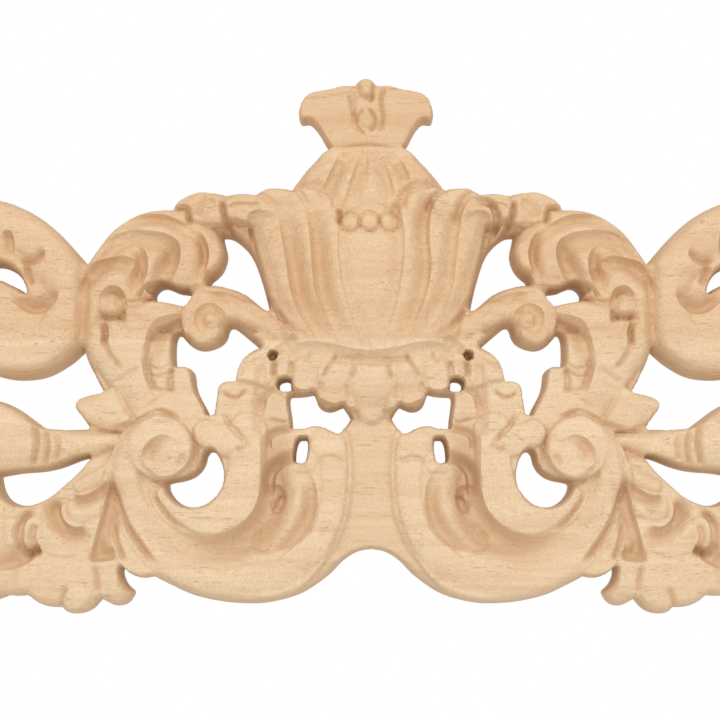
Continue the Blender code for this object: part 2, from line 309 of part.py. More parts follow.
    ("scroll outer ring", BOTH, [(-28.4, -65.3), (-25.3, -62.8), (-22.4, -60.3), (-19.8, -57.5), (-17.8,
        -54.5), (-16.5, -51.4), (-15.9, -47.9), (-16.0, -44.3), (-16.9, -41.1), (-18.4, -38.1)], [0.2, 1.6,
        2.2, 2.8, 3.4, 3.6, 3.4, 2.6, 1.8, 0.8], 2.2, 6.5),
    ("curl leaf edge", BOTH, [(-28.6, -42.3), (-28.5, -40.2), (-27.8, -38.5), (-26.3, -37.1), (-24.3,
        -36.2), (-21.9, -35.9)], [2.6, 3.8, 4, 3.6, 2.6, 1.2], 2, 5),
    ("comma", BOTH, [(-30.0, -49.1), (-29.1, -50.7), (-27.1, -50.6), (-25.7, -48.9), (-25.0, -46.3), (-25.6,
        -43.7), (-27.2, -42.1), (-29.2, -41.8)], [1, 2.4, 3, 3, 3, 2.6, 2.2, 1], 1.4, 3.4),
    ("urn and arm", BOTH, [(-30.6, 12.7), (-29.4, 10.3), (-27.9, 8.0), (-26.2, 5.7), (-24.1, 3.6), (-21.4,
        1.9)], [1, 2.6, 3.2, 2.4, 1.4, 0.6], 0.8, 2.6),
]

# Grooves: name, side, line, half width, depth.
GROOVES = [
    ("arch slit", BOTH, [(-66.9, 18.2), (-68.2, 16.1), (-69.3, 14.0)], 0.6, 2.2),
    ("side and arch", BOTH, [(-85.4, 27.0), (-85.6, 16), (-85.6, 8), (-86.2, -2.5)], 1.8, 2.0),
    ("valley", BOTH, [(-31.8, -3.6), (-32.6, -8), (-33.1, -13), (-33.6, -18.3), (-33.3, -24.4), (-32.6,
        -30.4)], 1.4, 2.0),
    ("lobe a fold", BOTH, [(-45.2, -13.4), (-42.4, -15.6), (-40.0, -15.9), (-38.6, -15.0), (-36.6, -13.0)],
        0.6, 1.4),
    ("leaf rim", BOTH, [(-40.2, -10.8), (-38.1, -7.2), (-35.5, -5.4), (-32.0, -4.0)], 0.6, 0.8),
    ("petal fold", BOTH, [(-31.2, -21.9), (-28.5, -22.7), (-26.5, -23.3), (-24.6, -23.0)], 0.5, 1.0),
    ("lobe pit", BOTH, [(-40.2, -31.1), (-38.9, -31.7), (-37.8, -31.0)], 0.6, 1.2),
    ("lobe crest", BOTH, [(-51.8, -27.0), (-49.5, -24.4), (-46.6, -23.9), (-43.2, -24.4)], 0.5, 0.6),
    ("curl lip", BOTH, [(-15.8, -37.6), (-15.2, -34.7), (-12.6, -33.8), (-9.6, -34.6), (-6.9, -36.2)], 0.6,
        0.9),
    ("curl leaf lip", BOTH, [(-15.9, -37.9), (-18.3, -38.8), (-21, -38.9), (-24.2, -38.3)], 0.6, 0.7),
    ("collar outer crease", BOTH, [(-23.6, -4.4), (-23.9, -9.0), (-23.8, -14.4)], 0.8, 2.0),
    ("leaf crease low", BOTH, [(-91.2, -80), (-91.0, -77), (-90.2, -74.5), (-88.8, -72)], 0.7, 1.4),
    ("leaf crease inner", BOTH, [(-80.2, -75), (-80.6, -70), (-81.4, -66)], 0.7, 1.2),
    ("leaf blade", BOTH, [(-75.9, -53.0), (-75.2, -57.5), (-73.9, -61.4), (-72.2, -65.6)], 0.8, 2.0),
    ("leaf pit", BOTH, [(-101.3, -62.8), (-98.8, -61.7), (-97, -60.9)], 1.1, 3.0),
    ("side crease", BOTH, [(-103.3, 24.3), (-102.2, 21), (-100.8, 17.8)], 1.0, 2.2),
    ("husk ring 1", BOTH, [(-99.6, -23.5), (-98.2, -30), (-100.2, -38.4)], 0.8, 2.2),
    ("husk ring 2", BOTH, [(-96.2, -25.5), (-95.0, -31), (-96.4, -37.4)], 0.7, 1.8),
    ("husk ring 3", BOTH, [(-92.9, -26.5), (-92.0, -31), (-93.0, -35.8)], 0.7, 1.4),
    ("finger fold 1", BOTH, [(-66.4, -6.2), (-63.1, -7.4), (-61.0, -6.8), (-58.9, -5.4)], 0.5, 0.8),
    ("finger fold 2", BOTH, [(-66.6, -8.8), (-63.6, -9.7), (-61.0, -9.0), (-58.9, -7.8)], 0.5, 0.8),
    ("finger fold 3", BOTH, [(-66.0, -12.8), (-62.4, -13.8), (-58.8, -13.5)], 0.5, 0.8),
    ("block crease", BOTH, [(-59.0, -6.4), (-59.9, -10.9), (-59.3, -15.0)], 0.8, 1.8),
    ("tongue fold", BOTH, [(-76.4, -11.6), (-72.5, -9.8), (-68.4, -7.2)], 0.8, 1.0),
    ("volute ring", BOTH, [(-67.1, -31.6), (-67.6, -33.7), (-67.4, -36.1), (-66.1, -38.3), (-64.2, -40.1),
        (-61.5, -41.3), (-58.6, -41.6), (-55.8, -41.0), (-53.6, -39.2), (-52.4, -36.7), (-52.0, -33.4),
        (-52.3, -30.2), (-53.3, -26.9), (-54.9, -24.2)], 0.9, 1.5),
    ("volute top", BOTH, [(-77.8, -26.3), (-75.5, -25.5), (-72.6, -24.6), (-69.7, -23.6), (-67.1, -22.2),
        (-65.1, -21.3), (-62.8, -20.5), (-60.4, -21.0), (-58.3, -22.2), (-56.8, -24.2)], 0.9, 1.7),
    ("volute pit", BOTH, [(-55.5, -33.1), (-55.7, -35.2), (-57.0, -36.9)], 0.9, 1.3),
    ("arm volute ring", BOTH, [(-55.0, 4.4), (-54.0, 1.9), (-52.4, 0.1), (-49.9, -0.8), (-46.9, -0.4),
        (-45.2, 1.2), (-44.2, 3.3)], 0.6, 1.4),
    ("arm volute slot", BOTH, [(-49.0, 5.9), (-47.8, 5.8), (-46.3, 5.9)], 0.4, 0.5),
    ("arch pocket", BOTH, [(-80.8, 8.2), (-78.8, 8.0), (-76.4, 8.0), (-74.3, 8.0), (-72.8, 7.7)], 1, 2.8),
    ("arch pocket side", BOTH, [(-73.4, 10.5), (-73.3, 8.4), (-73.4, 6.1)], 0.5, 1.6),
    ("arch notch", BOTH, [(-60.2, 41.3), (-57.5, 41.3), (-55.1, 41.2), (-54.4, 40.1), (-54.1, 38.2), (-53.2,
        35.7)], 0.8, 2.8),
    ("rim d crease", BOTH, [(-44.5, 44.1), (-43.9, 41.9), (-43.6, 39.7), (-43.1, 37.5), (-42.2, 35.3),
        (-40.7, 33.4)], 0.8, 3),
    ("rim d hollow", BOTH, [(-51.3, 37.1), (-50.1, 40.1), (-48.3, 42.3), (-46.2, 44.2)], 2, 2),
    ("crease pocket", LEFT, [(-9.4, 40.4), (-9.1, 38.9), (-9.0, 37.3), (-9.2, 35.1)], 0.8, 2.6),
    ("collar fold 1", BOTH, [(-10.5, -2.7), (-10.9, -4.6), (-12.4, -6.7), (-13.7, -8.8), (-14.8, -11.2)],
        0.6, 1.3),
    ("collar fold 2", BOTH, [(-5.0, -5.3), (-5.3, -8.0), (-6.3, -11.6)], 0.6, 1.1),
    ("collar fold 3", BOTH, [(-18.3, -2.2), (-19.1, -4.7), (-20.5, -6.0)], 0.6, 1.1),
    ("collar crease 1", BOTH, [(-15.2, -11.4), (-15.4, -13.3), (-15.7, -15.4)], 0.8, 1.6),
    ("collar crease 2", BOTH, [(-7.2, -12.4), (-7.5, -14.8), (-7.4, -17.2)], 0.8, 1.6),
    ("collar line", BOTH, [(-28.0, -3.2), (-25.9, -1.8), (-23.9, -0.5), (-21.5, 1.2)], 0.6, 1.4),
    ("pit tail", BOTH, [(-28.9, -5.0), (-29.1, -7.1), (-29.2, -10.2)], 0.8, 1.8),
    ("comma leaf", BOTH, [(-25.7, -44.9), (-27.2, -46.2), (-28.3, -48.0), (-29.2, -50.2)], 0.6, 1.2),
    ("foot crease", BOTH, [(-10.2, -24.5), (-8.4, -26.9), (-7.3, -30.2), (-6.8, -34.4), (-6.8, -39.5),
        (-7.1, -44.6), (-7.8, -49.9), (-9.3, -55.2), (-11.6, -60.2), (-14.5, -64.3), (-17.7, -67.3)], 0.5,
        1),
    ("leaf and scroll", BOTH, [(-77.0, -37.9), (-76.5, -41.5), (-75.2, -45.9), (-73.3, -50.7), (-70.9,
        -55.4), (-68.0, -59.8), (-65.0, -63.7), (-62.1, -66.9)], 0.9, 2.6),
    ("tongue crease", BOTH, [(-80.2, 3.7), (-78.7, 0.0), (-77.4, -3.0), (-75.6, -5.7), (-73.2, -8.4)], 0.7,
        1.6),
    ("neck", BOTH, [(6.0, 61.9), (0.0, 62.1), (-3.4, 61.9), (-6.4, 61.3), (-8.8, 60.7)], 0.6, 0.8),
    ("neck flange", BOTH, [(5.0, 58.6), (0.0, 58.7), (-5.2, 58.4), (-8.9, 57.8)], 0.7, 0.6),
    ("ogee", LEFT, [(-5.5, 80.5), (-4.1, 78.6), (-3.5, 76.0), (-3.7, 73.4), (-4.3, 70.5), (-3.6, 67.6),
        (-2.1, 66.0)], 0.5, 0.7),
    ("ogee", RIGHT, [(-6.5, 81.2), (-5.1, 78.9), (-4.7, 75.7), (-5.2, 72.4), (-4.9, 68.9), (-3.1, 65.8)],
        0.6, 1.3),
    ("tear", LEFT, [(-0.3, 74.5), (-1.4, 72.8), (-3.0, 70.8), (-2.8, 68.1), (-1.2, 66.3), (-0.1, 66.0)],
        0.5, 1),
    ("tear", RIGHT, [(-0.3, 74.5), (-1.7, 72.8), (-2.8, 70.3), (-2.1, 67.9), (-0.1, 66.2)], 0.5, 1.2),
    ("knob stem", LEFT, [(-2.4, 80.8), (-1.2, 79.2), (-0.3, 77.3)], 0.5, 0.6),
    ("knob stem", RIGHT, [(-1.8, 81.5), (-2.0, 79.2), (-1.9, 77.0), (-0.7, 75.8)], 0.5, 1.2),
]

# Volutes: name, ridge line of the spiral, depth, radius of the steep part, reach. The wood is high outside.
VOLUTES = [
    ("arm volute", [(-42.7, 2.3), (-42.6, 6.3), (-43.4, 9.3), (-45.1, 11.1), (-47.3, 12.2), (-49.7, 11.8),
        (-51.5, 10.6), (-52.5, 8.6), (-52.4, 6.2), (-51.6, 3.9), (-49.9, 2.8), (-48.2, 3.1)], [0.4, 1.1,
        1.5, 1.7, 1.5, 1.8, 2.2, 2.2, 1.8, 1.3, 1.3, 0.6], 1.8, 4.4),
    ("scroll volute", [(-58.3, -28.4), (-60.1, -27.6), (-61.8, -27.5), (-64.1, -28.4), (-65.8, -29.9),
        (-67.0, -31.9), (-67.2, -34.3), (-66.3, -36.4), (-64.8, -37.6), (-62.8, -38.2)], [0.6, 1.6, 2, 2.8,
        3.2, 3, 2.2, 1.6, 1.2, 0.4], 1.9, 6),
]

# Bosses: name, centre, radius, rise.
BOSSES = [
    ("bead", (0.0, 36.2), 2.8, 1.5), ("bead", (-5.9, 36.1), 2.8, 1.5), ("tear", (0.0, 69.4), 1.6, 0.4),
    ("arch eye pad", (-77.0, 11.6), 3.6, 1.0), ("arm volute eye", (-47.0, 7.0), 2.6, 0.9),
]

# Drilled pits: centre, radius, depth.
PITS = [((-29.4, -3.2), 1.3, 6.5)]

# Rolled edges: name, line that they lie along, reach each side of it, radius, and share of the height left at
# the border.
ROLLS = [
    ("side scroll", [(-85.8, 24), (-90, 30), (-101, 40), (-110, 44), (-119, 45.4), (-128, 42.4), (-134.5,
        35), (-137.3, 25.5), (-136.6, 16), (-133, 7.5), (-127, 0.5), (-119.5, -4.8), (-112, -7.8), (-105.5,
        -8.8), (-98.3, -7.9), (-92.2, -4.7), (-88, -1)], 6.0, 3.2, 0.5),
    ("side opening", [(-103, 16), (-105, 21.8), (-112, 26), (-120, 22.9)], 4.0, 2.0, 0.35),
    ("arch top", [(-83.5, 26), (-81.8, 28.9), (-77.4, 34.8), (-72, 38.9), (-67, 41), (-61, 41.5)], 3.0, 3.0,
        0.4),
    ("arch end", [(-49, 20), (-47.1, 22.5), (-45.2, 24.9), (-44.2, 28.6), (-44.9, 32.2)], 3.0, 2.0, 0.55),
    ("arm volute", [(-58.3, 4.8), (-57.1, 4.8), (-55.9, 3.5), (-52.4, 0.6), (-50.2, 0.2), (-47.4, 0.9),
        (-45.3, 2.1), (-43.7, 5.6)], 3.0, 1.4, 0.6),
    ("arm", [(-42, 6.9), (-39.7, 6.2), (-37.3, 4.2), (-34.7, 2), (-32.5, 0)], 2.5, 2.4, 0.35),
    ("arm top", [(-31.5, 11), (-37.6, 15.1), (-42.6, 17.4), (-48, 18.2)], 2.5, 2.4, 0.4),
    ("rim under side", [(-45.6, 35.4), (-41.5, 34.9), (-37.3, 32.4)], 3.0, 2.4, 0.35),
    ("urn side", [(-34.6, 27.6), (-32.1, 20.2), (-30.3, 13.2)], 3.0, 2.6, 0.35),
    ("rim", [(-59.6, 41.6), (-58, 43.8), (-51, 47.3), (-43.3, 46.4), (-34.5, 46.7), (-27.3, 48.8), (-24.5,
        48.5)], 3.0, 2.6, 0.4),
    ("lid", [(-22, 50), (-19, 53.8), (-14.5, 58.3), (-11.5, 60.4)], 3.0, 3.2, 0.4),
    ("finial", [(-11, 62.8), (-13.6, 67.4), (-16, 70.8), (-20.2, 71), (-20.6, 73), (-18.9, 78.2), (-13,
        79.9), (-3.6, 82), (0, 84.7)], 4.0, 1.1, 0.5),
    ("leaf feet", [(-125, -70), (-118.5, -76.4), (-107.6, -74), (-98.5, -76.2), (-91, -77.7), (-86.4,
        -79.5), (-79.9, -74.7), (-74.9, -77.2), (-71, -74)], 2.5, 2.4, 0.45),
    ("scroll under side", [(-59.4, -70.9), (-52.5, -74), (-44.2, -75.9), (-29.5, -76), (-21.1, -73.5),
        (-13.5, -68.4)], 2.5, 2.5, 0.35),
]

CURVE_STEPS = 6
SMALL = 1e-9
BORDER_MARKS = 0.25
CLEARANCE = 0.62
SHARP_ANGLE = math.radians(40)
WALL_CURVE = 0.75
ROW_STEP = math.sqrt(0.75)
BLENDING = 8
NEAREST = 0.1
LEAN = 0.8
RUN_OUT = 0.2
RUN_OUT_STEPS = 17
ROUNDNESS = 0.98
GROOVE_REACH = 1.8
PIT_SLOPE = 0.4
BOSS_RING = 1.1
BOSS_RING_WIDTH = 0.15
CIRCLE_STEPS = 24
ROLL_BLEND = 4.0
ROLL_CURVE = 0.55


def step(value, low, high):
    """0 below low, 1 above high, and a smooth rise between."""
    t = np.clip((value - low) / (high - low), 0.0, 1.0)
    return t * t * (3.0 - 2.0 * t)


def drift(x, z):
    """How far the carver's hand has moved a point of the plan to the right."""
    upper = np.clip((z - DRIFT_LOW) / DRIFT_SPAN, 0.0, 1.0)
    return DRIFT * (1.0 - upper ** 2) * np.exp(-(x / DRIFT_REACH) ** 2)


def spline(points, steps=CURVE_STEPS):
    """Open smooth curve through the points, as an array of places along it."""
    p = np.array(points, float)
    if len(p) == 1:
        return np.vstack([p, p + SMALL])
    ends = np.vstack([2 * p[0] - p[1], p, 2 * p[-1] - p[-2]])
    curve = []
    for a, b, c, d in zip(ends, ends[1:], ends[2:], ends[3:]):
        for t in np.arange(steps) / steps:
            curve.append(0.5 * (2 * b + (c - a) * t + (2 * a - 5 * b + 4 * c - d) * t * t
                                + (3 * b - a - 3 * c + d) * t ** 3))
    return np.array(curve + [p[-1]])


def spaced(curve, spacing):
    """The curve again, at even spacing, with both ends kept."""
    gaps = np.hypot(*np.diff(curve, axis=0).T)
    run = np.concatenate([[0], np.cumsum(gaps)])
    count = max(1, round(run[-1] / spacing))
    places = np.linspace(0, run[-1], count + 1)
    return np.column_stack([np.interp(places, run, curve[:, k]) for k in (0, 1)])


def contour(points, spacing, closed):
    """A smooth line with its marked corners kept sharp, at even spacing. A closed one starts at a corner."""
    corners = [k for k, p in enumerate(points) if len(p) == 3]
    places = [p[:2] for p in points]
    if closed:
        first = corners[0] if corners else 0
        places = places[first:] + places[:first] + [places[first]]
        corners = [(k - first) % len(points) for k in corners]
    stops = sorted({0, *corners, len(places) - 1})
    runs = [spaced(spline(places[a:b + 1], 8), spacing) for a, b in zip(stops, stops[1:])]
    line = np.vstack([run[:-1] for run in runs] + [runs[-1][-1:]])
    return line[:-1] if closed else line


def along(x, z, line, *lists):
    """For each point: distance to the line, side, and the value of each list near the point.

    The side is 1 on the left hand and -1 on the right hand, with a smooth turn round both ends. The numbers of
    a list are spread evenly along the line.
    """
    lists = [spline(list(enumerate(numbers)))[:, 1] for numbers in lists]
    best = np.full(x.shape, np.inf)
    side = np.ones(x.shape)
    totals = [np.zeros(x.shape) for _ in lists]
    weight = np.zeros(x.shape)
    for k, (a, b) in enumerate(zip(line, line[1:])):
        ux, uz = b - a
        length = math.hypot(ux, uz) + SMALL
        t = np.clip(((x - a[0]) * ux + (z - a[1]) * uz) / length ** 2, 0.0, 1.0)
        dx = x - a[0] - t * ux
        dz = z - a[1] - t * uz
        distance = np.hypot(dx, dz) + SMALL
        nearer = distance < best
        best = np.where(nearer, distance, best)
        side = np.where(nearer, (ux * dz - uz * dx) / (length * distance), side)
        pull = (NEAREST / distance) ** BLENDING
        weight += pull
        for total, numbers in zip(totals, lists):
            total += pull * np.interp((k + t) / (len(line) - 1), np.linspace(0, 1, len(numbers)), numbers)
    return best, side, *(total / weight for total in totals)


def between_ends(x, z, line, soft):
    """1 between the square ends of a band and 0 past them."""
    first = (line[1] - line[0]) / np.hypot(*(line[1] - line[0]))
    last = (line[-1] - line[-2]) / np.hypot(*(line[-1] - line[-2]))
    start = (x - line[0][0]) * first[0] + (z - line[0][1]) * first[1]
    end = (line[-1][0] - x) * last[0] + (line[-1][1] - z) * last[1]
    return step(start, -soft, 0.0) * step(end, -soft, 0.0)


def near(x, z, line, margin):
    """The points inside the line's own box and a margin round it."""
    low = line.min(axis=0) - margin
    high = line.max(axis=0) + margin
    return (x > low[0]) & (x < high[0]) & (z > low[1]) & (z < high[1])


def run_out(depth):
    """A list of depths that run out at both ends of a line; a list that is given is kept."""
    if isinstance(depth, list):
        return depth
    share = np.linspace(0.0, 1.0, RUN_OUT_STEPS)
    return depth * step(share, 0.0, RUN_OUT) * step(1.0 - share, 0.0, RUN_OUT)


def lay_band(h, x, z, line, widths, heights, crown, soft, square, grown):
    """Lay a band with a rounded back over the wood, with round or square ends.

    A crown of two numbers is the one on the left hand of the spine and the one on the right. A band that has
    grown into the wood under it leaves the wood that is higher as it is.
    """
    part = near(x, z, line, max(widths) + soft)
    distance, side, width, middle = along(x[part], z[part], line, widths, heights)
    across = np.clip(distance / width, 0.0, 1.0)
    if isinstance(crown, tuple):
        crown = crown[1] + (crown[0] - crown[1]) * step(side, -LEAN, LEAN)
    back = middle - crown * (1.0 - np.sqrt(1.0 - ROUNDNESS * across ** 2))
    if grown:
        back = 0.5 * (back + h[part] + np.hypot(back - h[part], soft))
    cover = step(width - distance, 0.0, soft)
    if square:
        cover *= between_ends(x[part], z[part], line, soft)
    h[part] = h[part] * (1.0 - cover) + back * cover


def cut_scoop(h, x, z, line, depth, radius, reach):
    """Cut a scoop on the left hand of the line, steep at the line and running out at its reach."""
    part = near(x, z, line, reach)
    distance, side, deep = along(x[part], z[part], line, run_out(depth))
    steep = (1.0 - (1.0 - np.clip(distance / radius, 0.0, 1.0)) ** 2) ** WALL_CURVE
    h[part] -= deep * steep * (1.0 - step(distance, radius, reach)) * step(side, 0.0, LEAN)


def cut_groove(h, x, z, line, half_width, depth):
    """Cut a groove that is round at the bottom and runs out at both ends."""
    part = near(x, z, line, GROOVE_REACH * half_width)
    distance, _, deep = along(x[part], z[part], line, run_out(depth))
    h[part] -= deep * (1.0 - step(distance, 0.0, GROOVE_REACH * half_width))


def half_relief(x, z, side):
    """Height of the relief on the left half's plan, with this side's strokes, and the depth of the cuts."""
    h = np.full(x.shape, GROUND)
    for name, where, spine, widths, heights, crown, soft in BANDS:
        if where in (BOTH, side):
            lay_band(h, x, z, spline(spine), widths, heights, crown, soft, name in SQUARE_ENDS, name in GROWN)
    laid = h.copy()
    for _, line, depth, steep, reach in VOLUTES:
        cut_scoop(h, x, z, spline(line), depth, steep, reach)
    for _, where, line, depth, radius, reach in SCOOPS:
        if where in (BOTH, side):
            cut_scoop(h, x, z, spline(line), depth, radius, reach)
    for _, where, line, half_width, depth in GROOVES:
        if where in (BOTH, side):
            cut_groove(h, x, z, spline(line), half_width, depth)
    for _, centre, radius, rise in BOSSES:
        distance = np.hypot(x - centre[0], z - centre[1]) / radius
        h += rise * np.sqrt(np.clip(1.0 - distance ** 2, 0.0, 1.0))
        h -= 0.5 * rise * np.exp(-((distance - BOSS_RING) / BOSS_RING_WIDTH) ** 2)
    for centre, radius, depth in PITS:
        h -= depth * step(radius - np.hypot(x - centre[0], z - centre[1]), -PIT_SLOPE, PIT_SLOPE)
    return h, laid - h


def relief(x, z):
    """Height in millimetres above the flat back, and depth of the cuts, at points of the straight plan."""
    h = np.zeros(x.shape)
    cut = np.zeros(x.shape)
    for side, chosen in ((LEFT, x <= 0), (RIGHT, x > 0)):
        h[chosen], cut[chosen] = half_relief(-np.abs(x[chosen]), z[chosen], side)
    return h, cut


def mirrored(line):
    """The line on the other half, run the other way round."""
    return (line * (-1, 1))[::-1]


def rings(spacing):
    """The outline and the openings of both halves, as closed rings of places at even spacing."""
    left = contour(OUTLINE, spacing, closed=False)
    openings = [contour(points, spacing, closed=True) for points in OPENINGS.values()]
    return [np.vstack([left, mirrored(left)[1:-1]])] + openings + [mirrored(ring) for ring in openings]


def on_wood(points, borders):
    """Which of the points lie inside the outline and outside the openings."""
    x, z = points.T
    odd = np.zeros(len(points), bool)
    for ring in borders:
        for a, b in zip(ring, np.roll(ring, -1, axis=0)):
            level = (a[1] > z) != (b[1] > z)
            odd ^= level & (x < a[0] + (b[0] - a[0]) * (z - a[1]) / (b[1] - a[1] + SMALL))
    return odd


def apart(points, marks):
    """Distance of each point from the nearest mark."""
    tree = KDTree(len(marks))
    for k, (x, z) in enumerate(marks):
        tree.insert((x, z, 0), k)
    tree.balance()
    return np.array([tree.find((x, z, 0))[2] for x, z in points])


def rolled(h, x, z, inside):
    """The height again, rolled down towards the border, from how far inside the border each point is."""
    x = -np.abs(x)
    radius = np.full(x.shape, ROLL)
    share = np.full(x.shape, ROLL_SHARE)
    for _, line, reach, wide, low in ROLLS:
        there = 1.0 - step(along(x, z, spline(line))[0], reach, reach + ROLL_BLEND)
        radius += (wide - radius) * there
        share += (low - share) * there
    part = np.clip(inside / radius, 0.0, 1.0)
    rise = (1.0 - (1.0 - part) ** 2) ** ROLL_CURVE
    return h * (share + (1.0 - share) * rise)


def heights(places, borders):
    """Height of the wood, and depth of the cuts, at each place. The borders' own points come first."""
    x, z = places.T
    marks = np.vstack([spaced(np.vstack([ring, ring[:1]]), BORDER_MARKS) for ring in borders])
    inside = apart(places, marks)
    inside[:sum(len(ring) for ring in borders)] = 0.0
    h, cut = relief(x, z)
    return rolled(h, x, z, inside), cut


def thinned(groups, clearance):
    """The points of the groups in turn, leaving out each one that is too close to one already kept."""
    cells = {}
    kept = []
    for points, checked in groups:
        for x, z in points:
            column, row = math.floor(x / clearance), math.floor(z / clearance)
            around = [p for i in (-1, 0, 1) for j in (-1, 0, 1) for p in cells.get((column + i, row + j), ())]
            if checked and any((x - a) ** 2 + (z - b) ** 2 < clearance ** 2 for a, b in around):
                continue
            cells.setdefault((column, row), []).append((x, z))
            kept.append((x, z))
    return np.array(kept)


def on_halves(strokes):
    """The strokes' lines, on the halves that have them."""
    lines = [spline(line) for _, where, line, *_ in strokes if where in (BOTH, LEFT)]
    return lines + [mirrored(spline(line)) for _, where, line, *_ in strokes if where in (BOTH, RIGHT)]


def circle(centre, radius):
    """A closed circle as a line."""
    turns = np.linspace(0.0, 2.0 * math.pi, CIRCLE_STEPS + 1)
    return np.column_stack([centre[0] + radius * np.cos(turns), centre[1] + radius * np.sin(turns)])


def crest_lines():
    """The lines where the relief turns sharply: the edges of the scoops, volutes, bosses and pits."""
    rounds = [circle(centre, radius) for _, centre, radius, _ in BOSSES] + [circle(*pit[:2]) for pit in PITS]
    return (on_halves(SCOOPS + [(name, BOTH, line) for name, line, *_ in VOLUTES])
            + rounds + [mirrored(line) for line in rounds])


def grid(low, high, spacing):
    """Places in rows between two corners, every other row shifted by half a step."""
    rows = np.arange(low[1], high[1], spacing * ROW_STEP)
    starts = low[0] + 0.5 * spacing * (np.arange(len(rows)) % 2)
    return np.array([(x, z) for start, z in zip(starts, rows) for x in np.arange(start, high[0], spacing)])


def triangulated(points, borders):
    """Triangles over the wood between the points. The borders' own points come first."""
    edges = []
    first = 0
    for ring in borders:
        count = len(ring)
        edges += [(first + k, first + (k + 1) % count) for k in range(count)]
        first += count
    places, _, faces, _, _, _ = delaunay_2d_cdt([Vector(p) for p in points], edges, [], 0, SMALL)
    places = np.array([tuple(p) for p in places])
    faces = np.array(faces)
    return places, faces[on_wood(places[faces].mean(axis=1), borders)]


def carved(name, edge_spacing, front_spacing, crest_spacing):
    """The applique as a closed mesh: flat back, sawn walls and carved front."""
    borders = rings(edge_spacing)
    border = np.vstack(borders)
    crests = np.vstack([spaced(line, crest_spacing) for line in crest_lines()])
    crests = crests[on_wood(crests, borders)]
    inner = grid(border.min(axis=0), border.max(axis=0), front_spacing)
    inner = inner[on_wood(inner, borders)]
    points = thinned([(border, False), (crests, True), (inner, True)], front_spacing * CLEARANCE)
    places, front = triangulated(points, borders)
    _, back = triangulated(border, borders)
    height, _ = heights(places, borders)
    mesh = bmesh.new()
    shift = drift(places[:, 0], places[:, 1])
    tops = [mesh.verts.new(((x + d) * MM, -h * MM, z * MM)) for (x, z), d, h in zip(places, shift, height)]
    bottoms = [mesh.verts.new((v.co.x, 0.0, v.co.z)) for v in tops[:len(border)]]
    for face in front:
        mesh.faces.new([tops[k] for k in face])
    for face in back:
        mesh.faces.new([bottoms[k] for k in reversed(face)])
    first = 0
    for ring in borders:
        count = len(ring)
        for k in range(count):
            a, b = first + k, first + (k + 1) % count
            mesh.faces.new([tops[b], tops[a], bottoms[a], bottoms[b]])
        first += count
    bmesh.ops.triangulate(mesh, faces=[face for face in mesh.faces if len(face.verts) > 3])
    bmesh.ops.recalc_face_normals(mesh, faces=mesh.faces)
    data = bpy.data.meshes.new(name)
    mesh.to_mesh(data)
    mesh.free()
    data.shade_smooth()
    data.set_sharp_from_angle(angle=SHARP_ANGLE)
    applique = bpy.data.objects.new(name, data)
    bpy.context.collection.objects.link(applique)
    return applique


def wood():
    """Bare sanded wood."""
    material = bpy.data.materials.new("bare wood")
    material.use_nodes = True
    shader = material.node_tree.nodes["Principled BSDF"]
    shader.inputs["Base Color"].default_value = WOOD_COLOUR
    shader.inputs["Roughness"].default_value = WOOD_ROUGHNESS
    shader.inputs["Metallic"].default_value = 0.0
    return material


def main():
    for thing in list(bpy.data.objects):
        bpy.data.objects.remove(thing)
    applique = carved("applique", EDGE_SPACING, FRONT_SPACING, CREASE_SPACING)
    applique.data.materials.append(wood())


main()
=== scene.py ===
"""The looks of a carved wooden furniture applique: an urn between acanthus arches and scrolls.

The applique is one piece of carved wood with a flat back. The plan is drawn in millimetres, X to the right
and Z up, on the left half, and mirrored. The relief is a height above the flat back, worked out at any point
of the plan by a few strokes: bands laid over each other, scoops with one crisp edge, grooves and bosses.
"""
import math

import bmesh
import bpy
import numpy as np
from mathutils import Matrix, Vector
from mathutils.geometry import delaunay_2d_cdt
from mathutils.kdtree import KDTree


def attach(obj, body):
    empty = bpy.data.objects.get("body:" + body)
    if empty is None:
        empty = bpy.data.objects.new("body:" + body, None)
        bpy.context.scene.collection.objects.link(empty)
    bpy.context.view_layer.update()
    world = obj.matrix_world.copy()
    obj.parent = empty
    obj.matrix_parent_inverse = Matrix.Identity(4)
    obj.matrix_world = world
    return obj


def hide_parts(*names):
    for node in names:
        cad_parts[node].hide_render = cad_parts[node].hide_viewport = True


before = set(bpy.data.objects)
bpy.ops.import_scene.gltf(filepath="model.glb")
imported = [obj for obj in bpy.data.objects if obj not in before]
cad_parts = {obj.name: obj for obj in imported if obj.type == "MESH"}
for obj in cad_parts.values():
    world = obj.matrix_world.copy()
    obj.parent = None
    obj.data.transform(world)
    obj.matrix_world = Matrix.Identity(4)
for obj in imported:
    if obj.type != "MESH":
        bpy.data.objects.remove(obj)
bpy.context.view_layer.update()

MM = 0.001
GROUND = 10.5

# How far apart the mesh's points lie: on plain wood, near strokes and edges, round the border, along creases.
PLAIN_SPACING = 0.95
DETAIL_SPACING = 0.52
DETAIL_REACH = 2.6
EDGE_SPACING = 0.7
CREASE_SPACING = 0.5

# The carver's centre line wanders a little to the right, most of all low down.
DRIFT = 1.6
DRIFT_REACH = 80.0
DRIFT_LOW = -20.0
DRIFT_SPAN = 95.0

# Edges are sanded over: the radius, and the share of the height that is left at the border.
ROLL = 1.15
ROLL_SHARE = 0.2

# The sawn walls lean outward to the back, and faces steeper than this count as sawn.
WALL_SLOPE = 0.3
LEAN_OF_WALLS = 0.75
LEAN_SPACING = 0.3
CLEAR_OF_WALL = 0.985

C = "corner"

